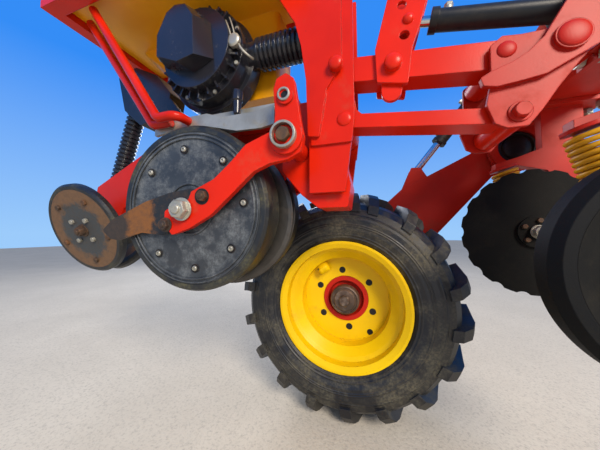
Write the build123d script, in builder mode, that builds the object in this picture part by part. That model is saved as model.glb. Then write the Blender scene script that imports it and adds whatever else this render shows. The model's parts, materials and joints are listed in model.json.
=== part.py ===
"""One planting row of a precision planter, with the frame section that carries it.

A square bar hangs from its end flange. On it ride a row unit on a parallel linkage, a
support wheel with a lug tyre on a trailing leg, and two fertiliser coulters.
"""

import math
import os

from build123d import *

os.makedirs("parts", exist_ok=True)

# Sizes are in millimetres. Points are measured from the ground under the support wheel:
# x forward, y towards the far side, z up. The part's origin lies on the bar's end flange.
BAR_X, BAR_Z = 640.0, 1075.0
BAR_SIZE, BAR_WALL, BAR_CORNER = 150.0, 8.0, 14.0
BAR_NEAR_Y = -500.0
FLANGE_Y = 334.0
FLANGE_SIZE, FLANGE_THICK = 250.0, 16.0
FLANGE_HOLE_SPACING, FLANGE_HOLE_R = 200.0, 11.0
BAR_BACK = BAR_X - BAR_SIZE / 2
BAR_UNDER = BAR_Z - BAR_SIZE / 2

# Clearances
SEAT_GAP = 0.3
PIN_GAP = 0.3
EYE_PLAY = 2.0
RUN_GAP = 5.0

# Support wheel
WHEEL_Z = 372.0
TYRE_R, TYRE_HALF_WIDTH, CARCASS_R = 380.0, 132.0, 350.0
LUGS_PER_SIDE = 18
BEAD_R, RIM_FLANGE_R, RIM_HALF_WIDTH = 194.5, 212.0, 122.0
RIM_WELL_R, DISC_Y, DISC_THICK = 158.0, -6.0, 9.0
STUD_CIRCLE_R, STUD_HOLE_R, STUD_PHASE = 102.5, 10.5, 23.5
HUB_R, HUB_BORE_R = 80.0, 30.0
SPINDLE_R = HUB_BORE_R - PIN_GAP

# Trailing leg of the support wheel
LEG_X, LEG_Z = 590.0, 917.0
LEG_NEAR_Y, LEG_FAR_Y = 170.0, 240.0
LEG_BOSS_R, LEG_PIN_R = 78.0, 35.0
LEG_COLLAR_R, LEG_COLLAR_BORE, LEG_COLLAR_LENGTH = 82.0, 58.0, 14.0
BRACKET_PLATE, FOOT_BOLT_OUT = 16.0, 32.0
LEG_EYE_X, LEG_EYE_Z = 262.0, 858.0
JACK_X, JACK_Z = 510.0, 1180.0
JACK_Y = 205.0

# Row unit and its parallel linkage: each arm is a box beside the row's middle plane,
# between two pivot tubes as wide as the row
ROW_Y = -306.0
ROW_HALF_WIDTH, ROW_PLATE, ROW_STRIP = 78.0, 7.0, 6.0
ARM_HALF_WIDTH = 60.0
LINK_Y, LINK_HALF_WIDTH, LINK_WALL = ROW_Y - 36.0, 24.0, 6.0
UPPER_REAR = (28.0, 973.0)
LOWER_REAR = (44.0, 857.0)
ARM_RUN, ARM_DROP = 304.0, 35.0
UPPER_FRONT = (UPPER_REAR[0] + ARM_RUN, UPPER_REAR[1] - ARM_DROP)
LOWER_FRONT = (LOWER_REAR[0] + ARM_RUN, LOWER_REAR[1] - ARM_DROP)
ARM_PIN_R, ARM_EYE_R = 12.0, 23.0
UPPER_ARM_HEIGHT, LOWER_ARM_HEIGHT = 54.0, 30.0
LIFT_REAR = (180.0, 1062.0)
LIFT_FRONT = (440.0, 1012.0)
LIFT_BARREL_R, LIFT_ROD_R, LIFT_BARREL_LENGTH = 20.0, 10.0, 225.0
EYE_PIN_R = 8.0

# Gauge wheels, opener discs and closing wheels: a wheel's axle points inward along
# (sin turn cos lean, cos turn cos lean, sin lean), mirrored on the far side
GAUGE_X, GAUGE_Y, GAUGE_Z = -315.0, -433.0, 667.0
GAUGE_TURN, GAUGE_LEAN = -4.0, 3.6
GAUGE_R, GAUGE_WIDTH, GAUGE_COVER_R = 200.0, 90.0, 181.0
DISC_R = 190.0
OPENER_X, OPENER_Y, OPENER_Z = -285.0, ROW_Y - 23.0, 660.0
GAUGE_PIVOT, LEVER_HOLE = (-62.0, 800.0), (-62.0, 881.0)
SHANK_THICK = 14.0
CLOSING_X, CLOSING_Y, CLOSING_Z = -782.0, ROW_Y - 80.0, 618.0
CLOSING_TURN, CLOSING_LEAN = -2.5, 20.0
CLOSING_R, CLOSING_WIDTH = 147.0, 26.0

# Seed meter, hopper and spine
METER_X, METER_Z = -340.0, 1095.0
METER_FACE_R, METER_RING_R, METER_BACK_R = 104.0, 126.0, 138.0
METER_NEAR_Y, METER_RING_Y, METER_BACK_Y, METER_FAR_Y = -400.0, -370.0, -330.0, -290.0
METER_RIBS, METER_RIB_THICK = 24, 5.0
COVER_NEAR_Y = -440.0
SPINE_UNDER, SPINE_TOP, SPINE_HALF_WIDTH, SPINE_BACK = 884.0, 930.0, 35.0, -480.0
BIN_REAR, BIN_FRONT, BIN_NEAR, BIN_FAR = -790.0, -60.0, -500.0, -100.0
BIN_FLOOR, BIN_TOP, BIN_WALL = 1270.0, 1600.0, 6.0
SUMP_REAR, SUMP_FRONT, SUMP_NEAR, SUMP_FAR, SUMP_FLOOR = -430.0, -160.0, -268.0, -146.0, 1010.0
MOUTH_REAR, MOUTH_FRONT, SUMP_CORNER = -700.0, -160.0, 20.0
RAIL_HEIGHT, RAIL_WIDTH = 22.0, 38.0
HOSE_R, HOSE_Y, HOSE_Z, HOSE_RIBS = 40.0, ROW_Y - 12.0, 1098.0, 12
HOSE_RIB_DEPTH, HOSE_SPIGOT = 5.0, 10.0
BRACKET_NEAR, BRACKET_WALL, BRACKET_FLANGE_Z = -410.0, 8.0, 882.0
STRUT_R, STRUT_Z = 11.0, 894.0
ELBOW_NEAR, ELBOW_FAR = -290.0, -226.0
DROP_HOSE_TOP, DROP_HOSE_END = (-732.0, 1048.0), (-822.0, 790.0)
DROP_HOSE_R, DROP_HOSE_RIBS = 28.0, 18

# Fertiliser coulters: each hangs from the bar on its own arm, held down by a coil spring
HANGER_BOLT_REACH, HANGER_WIDTH = 26.0, 83.0
COULTER_WHEEL_R, COULTER_WHEEL_WIDTH = 200.0, 66.0
COULTER_DISC_R, COULTER_DISC_THICK = 186.0, 5.0
COULTER_HALF_THICK = 14.0
COULTER_PIVOT, COULTER_PIN_R, COULTER_AXLE_R = (645.0, 745.0), 12.0, 14.0
COULTER_SPRING_TOP, COULTER_SPRING_FOOT = (500.0, 812.0), (528.0, 712.0)
COULTER_SPRING_R, COULTER_WIRE_R, COULTER_TURNS = 30.0, 5.0, 8
NEAR_COULTER_Y, NEAR_COULTER_AXLE = -276.0, (583.0, 551.0)
FAR_COULTER_Y, FAR_COULTER_AXLE = 30.0, (553.0, 613.0)


def at(x, y, z):
    """A point measured from the ground under the support wheel, in the part's own frame."""
    return (x - BAR_X, y - FLANGE_Y, z - BAR_Z)


def side(y):
    """The upright plane at depth y, seen from the near side: x forward and z up."""
    return Plane(origin=at(0, y, 0), x_dir=(1, 0, 0), z_dir=(0, -1, 0))


def level(z):
    """The level plane at height z, with x forward and y to the far side."""
    return Plane(origin=at(0, 0, z), x_dir=(1, 0, 0), z_dir=(0, 0, 1))


def across(x):
    """The upright plane square to the direction of travel: y to the far side and z up."""
    return Plane(origin=at(x, 0, 0), x_dir=(0, 1, 0), z_dir=(1, 0, 0))


def wheel_plane(x, y, z, turn, lean):
    """A leaning wheel's outer face: x forward, and its normal out of the near side."""
    turn, lean = math.radians(turn), math.radians(lean)
    inward = Vector(
        math.sin(turn) * math.cos(lean), math.cos(turn) * math.cos(lean), math.sin(lean)
    )
    forward = Vector(1, 0, 0) - inward * inward.X
    return Plane(origin=at(x, y, z), x_dir=forward, z_dir=inward * -1)


def profile(plane, points, corner=0.0, holes=()):
    """A face on a plane: a polygon with rounded corners and round holes (x, z, radius)."""
    with BuildSketch(plane) as sketch:
        with BuildLine():
            Polyline(*points, close=True)
        make_face()
        if corner:
            fillet(sketch.vertices(), corner)
        for x, z, radius in holes:
            with Locations((x, z)):
                Circle(radius, mode=Mode.SUBTRACT)
    return sketch.sketch


def chain(plane, rounds, holes=()):
    """A face on a plane made of round ends (x, z, radius) joined by their tangents."""
    with BuildSketch(plane) as sketch:
        for one, two in zip(rounds, rounds[1:]):
            circles = [Pos(x, z) * Circle(r, mode=Mode.PRIVATE) for x, z, r in (one, two)]
            make_hull(circles[0].edges() + circles[1].edges())
        for x, z, radius in holes:
            with Locations((x, z)):
                Circle(radius, mode=Mode.SUBTRACT)
    return sketch.sketch


def ring(plane, x, z, radius, bore=0.0):
    """A round face on a plane, with a bore if one is given."""
    with BuildSketch(plane) as sketch:
        with Locations((x, z)):
            Circle(radius)
            if bore:
                Circle(bore, mode=Mode.SUBTRACT)
    return sketch.sketch


def bar_across(x, z, radius, near, far, bore=0.0, mode=Mode.ADD):
    """A round bar or tube that runs across the machine from near to far."""
    extrude(ring(side(far), x, z, radius, bore), amount=far - near, mode=mode)


def plate_across(face_points, near, far, corner=0.0, holes=()):
    """A plate seen from the side, from near to far."""
    extrude(profile(side(far), face_points, corner, holes), amount=far - near)


def between(start, end, radius, bore=0.0, mode=Mode.ADD):
    """A round bar or tube from one point to another."""
    run = Vector(*at(*end)) - Vector(*at(*start))
    plane = Plane(origin=at(*start), z_dir=run)
    extrude(ring(plane, 0, 0, radius, bore), amount=run.length, mode=mode)


def save(part, name):
    """Labels a finished piece and writes it out."""
    part.label = name
    export_step(part, f"parts/{name}.step")


ROW_MIDDLE = Plane(origin=at(0, ROW_Y, 0), x_dir=(1, 0, 0), z_dir=(0, -1, 0))


# Frame bar with its end flange
with BuildPart() as toolbar:
    with BuildSketch(side(FLANGE_Y)):
        with Locations((BAR_X, BAR_Z)):
            RectangleRounded(BAR_SIZE, BAR_SIZE, BAR_CORNER)
            inner = BAR_SIZE - 2 * BAR_WALL
            RectangleRounded(inner, inner, BAR_CORNER - BAR_WALL, mode=Mode.SUBTRACT)
    extrude(amount=FLANGE_Y - BAR_NEAR_Y)
    with BuildSketch(side(BAR_NEAR_Y + BAR_WALL)):
        with Locations((BAR_X, BAR_Z)):
            RectangleRounded(BAR_SIZE - BAR_WALL, BAR_SIZE - BAR_WALL, BAR_CORNER / 2)
    extrude(amount=BAR_WALL)
    with BuildSketch(side(FLANGE_Y)):
        with Locations((BAR_X, BAR_Z)):
            RectangleRounded(FLANGE_SIZE, FLANGE_SIZE, BAR_CORNER)
            with GridLocations(FLANGE_HOLE_SPACING, FLANGE_HOLE_SPACING, 2, 2):
                Circle(FLANGE_HOLE_R, mode=Mode.SUBTRACT)
    extrude(amount=FLANGE_THICK)
save(toolbar.part, "toolbar")

# Row head: the bracket on the bar that holds the front of the parallel linkage
HEAD_PLATE, HEAD_CHEEK = 10.0, 7.0
HEAD_INNER = ARM_HALF_WIDTH + RUN_GAP + HEAD_CHEEK
HEAD_BOLT_REACH = HEAD_INNER + HEAD_PLATE + 22.0
HEAD_FOOT = HEAD_PLATE + 42.0
HEAD_BOSS, HEAD_BOSS_R, HEAD_BOSS_RISE = (414.0, 933.0), 24.0, 6.0
U_BOLT_R = 8.0
head_saddle_back = BAR_BACK - SEAT_GAP
with BuildPart() as row_head:
    head_outline = [
        (288, 888), (306, 898), (334, 907), (358, 921), (380, 942), (396, 970), (412, 998),
        (470, 1090), (head_saddle_back, 1150), (head_saddle_back, 1000), (530, 975),
        (447, 912), (381, 877), (349, 872), (313, 868), (292, 873),
    ]
    front_x, front_z = UPPER_FRONT
    low_x, low_z = LOWER_FRONT
    cheek_outline = [
        (low_x - 40, low_z + 62), (low_x - 48, low_z + 20), (low_x - 36, low_z - 16),
        (low_x - 18, low_z - 26), (low_x + 12, low_z - 26), (low_x + 32, low_z),
        (low_x + 54, low_z + 35), (430, 895), (470, 940), (430, 990), (390, 960),
        (front_x + 22, front_z + 22), (front_x - 6, front_z + 26), (front_x - 24, front_z + 12),
    ]
    for side_sign in (-1, 1):
        cheek = ROW_Y + side_sign * (HEAD_INNER - HEAD_CHEEK / 2)
        plate = ROW_Y + side_sign * (HEAD_INNER + HEAD_PLATE / 2)
        boss = ROW_Y + side_sign * (HEAD_INNER + (HEAD_PLATE + HEAD_BOSS_RISE) / 2)
        plate_across(cheek_outline, cheek - HEAD_CHEEK / 2, cheek + HEAD_CHEEK / 2, 4.0)
        plate_across(head_outline, plate - HEAD_PLATE / 2, plate + HEAD_PLATE / 2, 4.0)
        boss_half = (HEAD_PLATE + HEAD_BOSS_RISE) / 2
        bar_across(*HEAD_BOSS, HEAD_BOSS_R, boss - boss_half, boss + boss_half)
    tie = [(522, 1010), (534, 1010), (534, 1140), (522, 1140)]
    plate_across(tie, ROW_Y - HEAD_INNER, ROW_Y + HEAD_INNER)
    bolt_rise = BAR_SIZE / 2 + SEAT_GAP + U_BOLT_R
    with BuildSketch(across(head_saddle_back)):
        with Locations((ROW_Y, BAR_Z)):
            with GridLocations(2 * HEAD_INNER + HEAD_FOOT, 0, 2, 1):
                Rectangle(HEAD_FOOT, 2 * bolt_rise + 30)
            with GridLocations(2 * HEAD_BOLT_REACH, 2 * bolt_rise, 2, 2):
                Circle(U_BOLT_R + SEAT_GAP, mode=Mode.SUBTRACT)
    extrude(amount=-14)
    for pivot in (UPPER_FRONT, LOWER_FRONT):
        bar_across(*pivot, ARM_PIN_R, ROW_Y - HEAD_INNER, ROW_Y + HEAD_INNER)
    bar_across(*LIFT_FRONT, EYE_PIN_R, ROW_Y - HEAD_INNER, ROW_Y + HEAD_INNER)
save(row_head.part, "row_head")

# Arms of the linkage: each is a hollow box with a pivot tube at both ends
arm_unit = Vector(ARM_RUN, -ARM_DROP).normalized()
arm_up = Vector(-arm_unit.Y, arm_unit.X)


def arm_box(rear, inset, height):
    """Corners of a straight bar between an arm's two pivots, inset from both."""
    start = Vector(*rear) + arm_unit * inset
    end = Vector(*rear) + arm_unit * (math.hypot(ARM_RUN, ARM_DROP) - inset)
    lift = arm_up * (height / 2)
    return [(p.X, p.Y) for p in (start - lift, end - lift, end + lift, start + lift)]


def arm_tubes(rear, front):
    """The pivot tubes at both ends of an arm."""
    for pivot in (rear, front):
        bar_across(*pivot, ARM_EYE_R, ROW_Y - ARM_HALF_WIDTH, ROW_Y + ARM_HALF_WIDTH)


LINK_NEAR, LINK_FAR = LINK_Y - LINK_HALF_WIDTH, LINK_Y + LINK_HALF_WIDTH


def box_arm(rear, front, height):
    """A hollow box with a bored pivot tube at each end."""
    arm_tubes(rear, front)
    plate_across(arm_box(rear, 12.0, height), LINK_NEAR, LINK_FAR)
    hollow_points = arm_box(rear, ARM_EYE_R + 2 * LINK_WALL, height - 2 * LINK_WALL)
    hollow = profile(side(LINK_FAR - LINK_WALL), hollow_points)
    extrude(hollow, amount=LINK_FAR - LINK_NEAR - 2 * LINK_WALL, mode=Mode.SUBTRACT)


def bore_arm(rear, front):
    """Cuts both pivot tubes to the pins' running fit."""
    for pivot in (rear, front):
        bar_across(
            *pivot, ARM_PIN_R + PIN_GAP, ROW_Y - ARM_HALF_WIDTH, ROW_Y + ARM_HALF_WIDTH,
            mode=Mode.SUBTRACT,
        )


# Upper arm, with a tab under its near side
TAB_ROUNDS, TAB_THICK = [(143, 930, 22), (141, 905, 20)], 8.0
with BuildPart() as upper_arm:
    box_arm(UPPER_REAR, UPPER_FRONT, UPPER_ARM_HEIGHT)
    extrude(chain(side(LINK_NEAR + TAB_THICK), TAB_ROUNDS), amount=TAB_THICK)
    bore_arm(UPPER_REAR, UPPER_FRONT)
save(upper_arm.part, "upper_arm")

# Lift straps: a pair of drilled plates on the upper arm that hold the cylinder's rod eye
STRAP_THICK = 8.0
STRAP_FOOT, STRAP_CAP_R, STRAP_CAP_RISE = (143.0, 957.0), 17.0, 10.0
with BuildPart() as lift_straps:
    strap_outline = [
        (112, 925), (109, 995), (134, 1095), (150, 1150), (228, 1150), (207, 1071),
        (195, 1026), (180, 981), (172, 912),
    ]
    strap_holes = [(166, 1013, 9.5), (162, 1077, 9), (194, 1089, 9), (196, 1128, 9)]
    for strap_near in (LINK_NEAR - STRAP_THICK, LINK_FAR):
        strap = profile(side(strap_near + STRAP_THICK), strap_outline, 4.0, strap_holes)
        extrude(strap, amount=STRAP_THICK)
    strap_reach = LINK_HALF_WIDTH + STRAP_THICK
    bar_across(*LIFT_REAR, EYE_PIN_R, LINK_Y - strap_reach, LINK_Y + strap_reach)
    for cap_near in (LINK_Y - strap_reach - STRAP_CAP_RISE, LINK_Y + strap_reach):
        bar_across(*STRAP_FOOT, STRAP_CAP_R, cap_near, cap_near + STRAP_CAP_RISE)
save(lift_straps.part, "lift_straps")

# Lower arm: a low box between its pivot tubes, with a gusset at its rear end
with BuildPart() as lower_arm:
    box_arm(LOWER_REAR, LOWER_FRONT, LOWER_ARM_HEIGHT)
    gusset = [(50, 855), (66, 902), (70, 878), (82, 866), (108, 858), (108, 846)]
    plate_across(gusset, LINK_NEAR, LINK_NEAR + TAB_THICK)
    bore_arm(LOWER_REAR, LOWER_FRONT)
save(lower_arm.part, "lower_arm")


# Cylinders: a barrel that swings on its base eye, and a rod that slides in it
def barrel_part(base, tip, y, radius, length, bore):
    """A cylinder's barrel from its base eye towards its rod's eye, bored for the rod."""
    unit = (Vector(*tip) - Vector(*base)).normalized()
    start = Vector(*base) + unit * (radius * 0.9)
    end = Vector(*base) + unit * length
    with BuildPart() as barrel:
        between((start.X, y, start.Y), (end.X, y, end.Y), radius)
        gland = end + unit * -14
        between((gland.X, y, gland.Y), (end.X, y, end.Y), radius + 3)
        bar_across(*base, EYE_PIN_R + radius * 0.7, y - radius, y + radius)
        deep = Vector(*base) + unit * (radius * 2.0)
        between((deep.X, y, deep.Y), (end.X, y, end.Y), bore, mode=Mode.SUBTRACT)
        bar_across(*base, EYE_PIN_R + PIN_GAP, y - radius, y + radius, mode=Mode.SUBTRACT)
    return barrel.part


def rod_part(base, tip, y, radius, inside, eye_half):
    """A cylinder's rod: its eye on the tip's pin and its shaft running into the barrel."""
    unit = (Vector(*tip) - Vector(*base)).normalized()
    start = Vector(*base) + unit * inside
    end = Vector(*tip) - unit * (EYE_PIN_R + 3)
    with BuildPart() as rod:
        between((start.X, y, start.Y), (end.X, y, end.Y), radius)
        bar_across(*tip, EYE_PIN_R + 9, y - eye_half, y + eye_half)
        bar_across(*tip, EYE_PIN_R + EYE_PLAY, y - eye_half, y + eye_half, mode=Mode.SUBTRACT)
    return rod.part


lift_barrel = barrel_part(
    LIFT_FRONT, LIFT_REAR, LINK_Y, LIFT_BARREL_R, LIFT_BARREL_LENGTH, LIFT_ROD_R + PIN_GAP
)
save(lift_barrel, "lift_barrel")
lift_rod = rod_part(LIFT_FRONT, LIFT_REAR, LINK_Y, LIFT_ROD_R, 100.0, 16.0)
save(lift_rod, "lift_rod")

# Row frame: shaped side plates over wider strips, a front web, the lower channel, a
# bottom casting and a spine
with BuildPart() as row_frame:
    plate_outline = [
        (-150, 1248), (-111, 1175), (-67, 1097), (-52, 1038), (-40, 955), (-36, 826),
        (-10, 822), (7, 927), (40, 978), (39, 1248),
    ]
    strip_outline = [(-60, 1248), (-34, 1040), (-30, 806), (60, 806), (66, 860), (62, 1248)]
    inside = ROW_HALF_WIDTH - ROW_PLATE - ROW_STRIP
    for outline, reach, thick in (
        (plate_outline, ROW_HALF_WIDTH, ROW_PLATE), (strip_outline, inside + ROW_STRIP, ROW_STRIP)
    ):
        for plate_near in (ROW_Y - reach, ROW_Y + reach - thick):
            plate_across(outline, plate_near, plate_near + thick, 4.0)
    web = [(-36, 750), (-26, 750), (-26, 1150), (-36, 1150)]
    plate_across(web, ROW_Y - inside, ROW_Y + inside)
    channel = [(-36, 700), (45, 700), (60, 820), (-36, 830)]
    for flange_near in (ROW_Y - inside, ROW_Y + inside - ROW_PLATE):
        plate_across(channel, flange_near, flange_near + ROW_PLATE)
    casting = [(-110, 760), (-60, 700), (-20, 668), (48, 668), (55, 720), (40, 790), (-36, 800),
               (-110, 850)]
    plate_across(casting, ROW_Y - 45, ROW_Y + 45, 6.0)
    spine = [
        (SPINE_BACK, SPINE_UNDER), (-30, SPINE_UNDER), (-30, SPINE_TOP),
        (SPINE_BACK, SPINE_TOP),
    ]
    plate_across(spine, ROW_Y - SPINE_HALF_WIDTH, ROW_Y + SPINE_HALF_WIDTH)
    post = [(-110, 800), (-36, 790), (-36, 900), (-110, 900)]
    plate_across(post, ROW_Y - SPINE_HALF_WIDTH, ROW_Y + SPINE_HALF_WIDTH)
    bar_across(*GAUGE_PIVOT, 20.0, ROW_Y - 158, ROW_Y + 158)
    for pivot in (UPPER_REAR, LOWER_REAR):
        bar_across(*pivot, ARM_PIN_R, ROW_Y - inside, ROW_Y + inside)
    bar_across(*UPPER_REAR, 15.0, ROW_Y - ROW_HALF_WIDTH - 12, ROW_Y - ROW_HALF_WIDTH)
save(row_frame.part, "row_frame")

# Outer faces of the row's leaning wheels on its near side
gauge_face = wheel_plane(GAUGE_X, GAUGE_Y, GAUGE_Z, GAUGE_TURN, GAUGE_LEAN)
opener_face = wheel_plane(OPENER_X, OPENER_Y, OPENER_Z, GAUGE_TURN, GAUGE_LEAN)
closing_face = wheel_plane(CLOSING_X, CLOSING_Y, CLOSING_Z, CLOSING_TURN, CLOSING_LEAN)

# Opener shank: the plate between the discs, with a stub axle for each
OPENER_AXLE_R = 12.0
with BuildPart() as opener_shank:
    shank_outline = [
        (-110 - SEAT_GAP, 850), (-110 - SEAT_GAP, 770), (-200, 640), (-285, 610),
        (-345, 620), (-345, 700), (-260, SPINE_UNDER - SEAT_GAP),
        (-150, SPINE_UNDER - SEAT_GAP),
    ]
    half = SHANK_THICK / 2
    plate_across(shank_outline, ROW_Y - half, ROW_Y + half, 3.0)
    stub = Plane(origin=opener_face.origin + opener_face.z_dir * 5, z_dir=opener_face.z_dir * -1)
    extrude(ring(stub, 0, 0, OPENER_AXLE_R), amount=26)
    collar = Plane(origin=opener_face.origin - opener_face.z_dir * 6, z_dir=opener_face.z_dir * -1)
    extrude(ring(collar, 0, 0, OPENER_AXLE_R + 8), amount=14)
    mirror(about=ROW_MIDDLE)
save(opener_shank.part, "opener_shank")

# Wheels of the row: each near one is drawn on its own face plane and mirrored
def turned(face, points):
    """A solid turned about a wheel's axle: points are (radius, depth behind its face)."""
    turning = Plane(origin=face.origin, x_dir=face.x_dir, z_dir=face.y_dir * -1)
    with BuildPart() as solid:
        with BuildSketch(turning):
            with BuildLine():
                Polyline(*[(r, -d) for r, d in points], close=True)
            make_face()
        revolve(axis=Axis(face.origin, face.z_dir))
    return solid.part


def pair(part, name):
    """Writes the near piece and its mirrored twin on the row's far side."""
    save(part, f"{name}_near")
    save(mirror(part, about=ROW_MIDDLE), f"{name}_far")


gauge_tyre = turned(gauge_face, [
    (GAUGE_COVER_R, 0), (193, 0), (GAUGE_R - 1, 8), (GAUGE_R, 22), (GAUGE_R, 70),
    (196, 84), (188, GAUGE_WIDTH), (172, GAUGE_WIDTH), (172, 60), (168, 30), (168, 12),
    (GAUGE_COVER_R, 12),
])
pair(gauge_tyre, "gauge_tyre")
gauge_cover = turned(gauge_face, [
    (18, 0), (150, 2), (GAUGE_COVER_R - SEAT_GAP, 0.5), (GAUGE_COVER_R - SEAT_GAP, 6),
    (167, 12), (167, 30), (60, 30), (60, 55), (34, 55), (34, 8), (18, 8),
])
pair(gauge_cover, "gauge_cover")
opener_disc = turned(opener_face, [
    (OPENER_AXLE_R + PIN_GAP, -4), (34, -4), (38, -1), (DISC_R - 12, -1), (DISC_R, 1),
    (DISC_R - 12, 3), (OPENER_AXLE_R + PIN_GAP, 3),
])
pair(opener_disc, "opener_disc")
closing_tyre = turned(closing_face, [
    (CLOSING_R - 16, 0), (CLOSING_R - 6, 0), (CLOSING_R, 6), (CLOSING_R, 20),
    (CLOSING_R - 8, CLOSING_WIDTH), (CLOSING_R - 24, CLOSING_WIDTH), (CLOSING_R - 24, 12),
    (CLOSING_R - 16, 12),
])
pair(closing_tyre, "closing_tyre")
closing_disc = turned(closing_face, [
    (13, 1), (80, 1), (84, 0), (CLOSING_R - 16 - SEAT_GAP, 0), (CLOSING_R - 16 - SEAT_GAP, 10),
    (60, 10), (40, 24), (13, 24),
])
pair(closing_disc, "closing_disc")


def on_face(face, depth):
    """A plane parallel to a wheel's face; depth is positive in front of it."""
    return Plane(origin=face.origin + face.z_dir * depth, x_dir=face.x_dir, z_dir=face.z_dir)


def local(face, x, z):
    """Where a point seen from the side at the face's depth lies in that face's own plane."""
    point = face.to_local_coords(Vector(*at(x, GAUGE_Y, z)))
    return (point.X, point.Y)


# Gauge arms: cast arms outboard of the wheels, each with its lever, pivot tube and axle
ARM_OFF, GAUGE_ARM_THICK, LEVER_HOLE_R = 14.0, 16.0, 8.0
with BuildPart() as gauge_arms:
    arm_plane = on_face(gauge_face, ARM_OFF)
    arm_points = [
        (-88, 818), (-150, 795), (-190, 758), (-228, 728), (-285, 704), (-294, 686),
        (-330, 678), (-358, 662), (-361, 632), (-340, 607), (-292, 622), (-238, 650),
        (-182, 697), (-134, 738), (-98, 752), (-60, 757), (-32, 770), (-26, 800),
        (-32, 832), (-44, 913), (-60, 926), (-80, 918), (-87, 898), (-84, 850),
    ]
    placed = [local(arm_plane, x, z) for x, z in arm_points]
    lever_hole = local(arm_plane, *LEVER_HOLE)
    arm_face = profile(arm_plane, placed, 6.0, [(*lever_hole, LEVER_HOLE_R)])
    extrude(arm_face, amount=GAUGE_ARM_THICK)
    extrude(ring(arm_plane, *lever_hole, LEVER_HOLE_R + 9, LEVER_HOLE_R),
            amount=GAUGE_ARM_THICK + 5)
    pivot = local(arm_plane, *GAUGE_PIVOT)
    extrude(ring(arm_plane, *pivot, 34.0), amount=24)
    extrude(ring(on_face(gauge_face, -50), 0, 0, 17.0), amount=50 + ARM_OFF)
    extrude(ring(arm_plane, 0, 0, 17.0), amount=GAUGE_ARM_THICK + 8)
    extrude(ring(on_face(gauge_face, -20), *pivot, 27.0), amount=22 + ARM_OFF)
    bar_across(*GAUGE_PIVOT, 20.0 + PIN_GAP, ROW_Y - 175, ROW_Y - 85, mode=Mode.SUBTRACT)
    mirror(about=ROW_MIDDLE)
save(gauge_arms.part, "gauge_arms")

# Scrapers: plates behind the gauge arms that reach round the back of each tread
with BuildPart() as scrapers:
    blade_plane = on_face(gauge_face, ARM_OFF - 6.0 - SEAT_GAP)
    blade_points = [(-262, 706), (-302, 713), (-360, 706), (-429, 688), (-538, 646),
                    (-572, 618), (-545, 596), (-518, 593), (-446, 612), (-385, 606),
                    (-330, 622), (-262, 662)]
    placed = [local(blade_plane, x, z) for x, z in blade_points]
    extrude(profile(blade_plane, placed, 6.0, [(0, 0, 17.0 + PIN_GAP)]), amount=6.0)
    mirror(about=ROW_MIDDLE)
save(scrapers.part, "scrapers")

# Closing arm: the cast tail with a stub axle for each closing wheel
with BuildPart() as closing_arm:
    tail = [
        (SPINE_BACK - SEAT_GAP, 930), (-640, 856), (-830, 772), (-845, 700), (-815, 590),
        (-750, 590), (-700, 690), (-560, 790), (SPINE_BACK - SEAT_GAP, 850),
    ]
    plate_across(tail, ROW_Y - 15, ROW_Y + 15, 8.0)
    inward = closing_face.z_dir * -1
    reach = (ROW_Y - 10 - CLOSING_Y) / inward.Y
    stub = Plane(origin=closing_face.origin + inward * 2, z_dir=inward)
    extrude(ring(stub, 0, 0, 13.0 - PIN_GAP), amount=reach - 2)
    collar = Plane(origin=closing_face.origin + inward * (CLOSING_WIDTH + 6), z_dir=inward)
    extrude(ring(collar, 0, 0, 20.0), amount=reach - CLOSING_WIDTH - 6)
    mirror(about=ROW_MIDDLE)
save(closing_arm.part, "closing_arm")

# Seed meter: a stepped round housing with ribs, the hose spigot, the neck and the outlet
shelf_top = SPINE_TOP + SEAT_GAP + BRACKET_WALL
with BuildPart() as seed_meter:
    for radius, near, far in (
        (METER_FACE_R, METER_NEAR_Y, METER_RING_Y), (METER_RING_R, METER_RING_Y, METER_BACK_Y),
        (METER_BACK_R, METER_BACK_Y, METER_FAR_Y),
    ):
        bar_across(METER_X, METER_Z, radius, near, far)
    for rib in range(METER_RIBS):
        with BuildSketch(side(METER_RING_Y)):
            with Locations((METER_X, METER_Z)):
                with PolarLocations(METER_FACE_R + 8, 1, start_angle=360 * rib / METER_RIBS):
                    Rectangle(24, METER_RIB_THICK)
        extrude(amount=14)
    spigot_end = METER_X + METER_BACK_R + HOSE_SPIGOT
    between(
        (METER_X, HOSE_Y, HOSE_Z), (spigot_end, HOSE_Y, HOSE_Z), HOSE_R - HOSE_RIB_DEPTH
    )
    neck = [(-400, SUMP_FLOOR), (-300, SUMP_FLOOR), (-300, 1180), (-400, 1180)]
    plate_across(neck, METER_FAR_Y, SUMP_NEAR - SEAT_GAP, 8.0)
    outlet_base = shelf_top + SEAT_GAP
    outlet = [(-375, outlet_base), (-320, outlet_base), (-300, 1000), (-395, 1000)]
    plate_across(outlet, METER_BACK_Y + 5, METER_FAR_Y)
save(seed_meter.part, "seed_meter")

# Meter cover: a moulded cap that widens towards the housing
COVER_POINTS = (
    # x and z at the outer face, then x and z at the housing
    (-422, 1062, -430, 1058), (-422, 1117, -430, 1122), (-392, 1168, -398, 1180),
    (-366, 1180, -366, 1190), (-335, 1174, -325, 1184), (-311, 1140, -288, 1146),
    (-306, 1041, -278, 1050), (-358, 1034, -340, 1028),
)
with BuildPart() as meter_cover:
    for y, first in ((COVER_NEAR_Y, 0), (METER_NEAR_Y - SEAT_GAP, 2)):
        with BuildSketch(side(y)):
            with BuildLine():
                Polyline(*[row[first:first + 2] for row in COVER_POINTS], close=True)
            make_face()
    loft(ruled=True)
save(meter_cover.part, "meter_cover")

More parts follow.
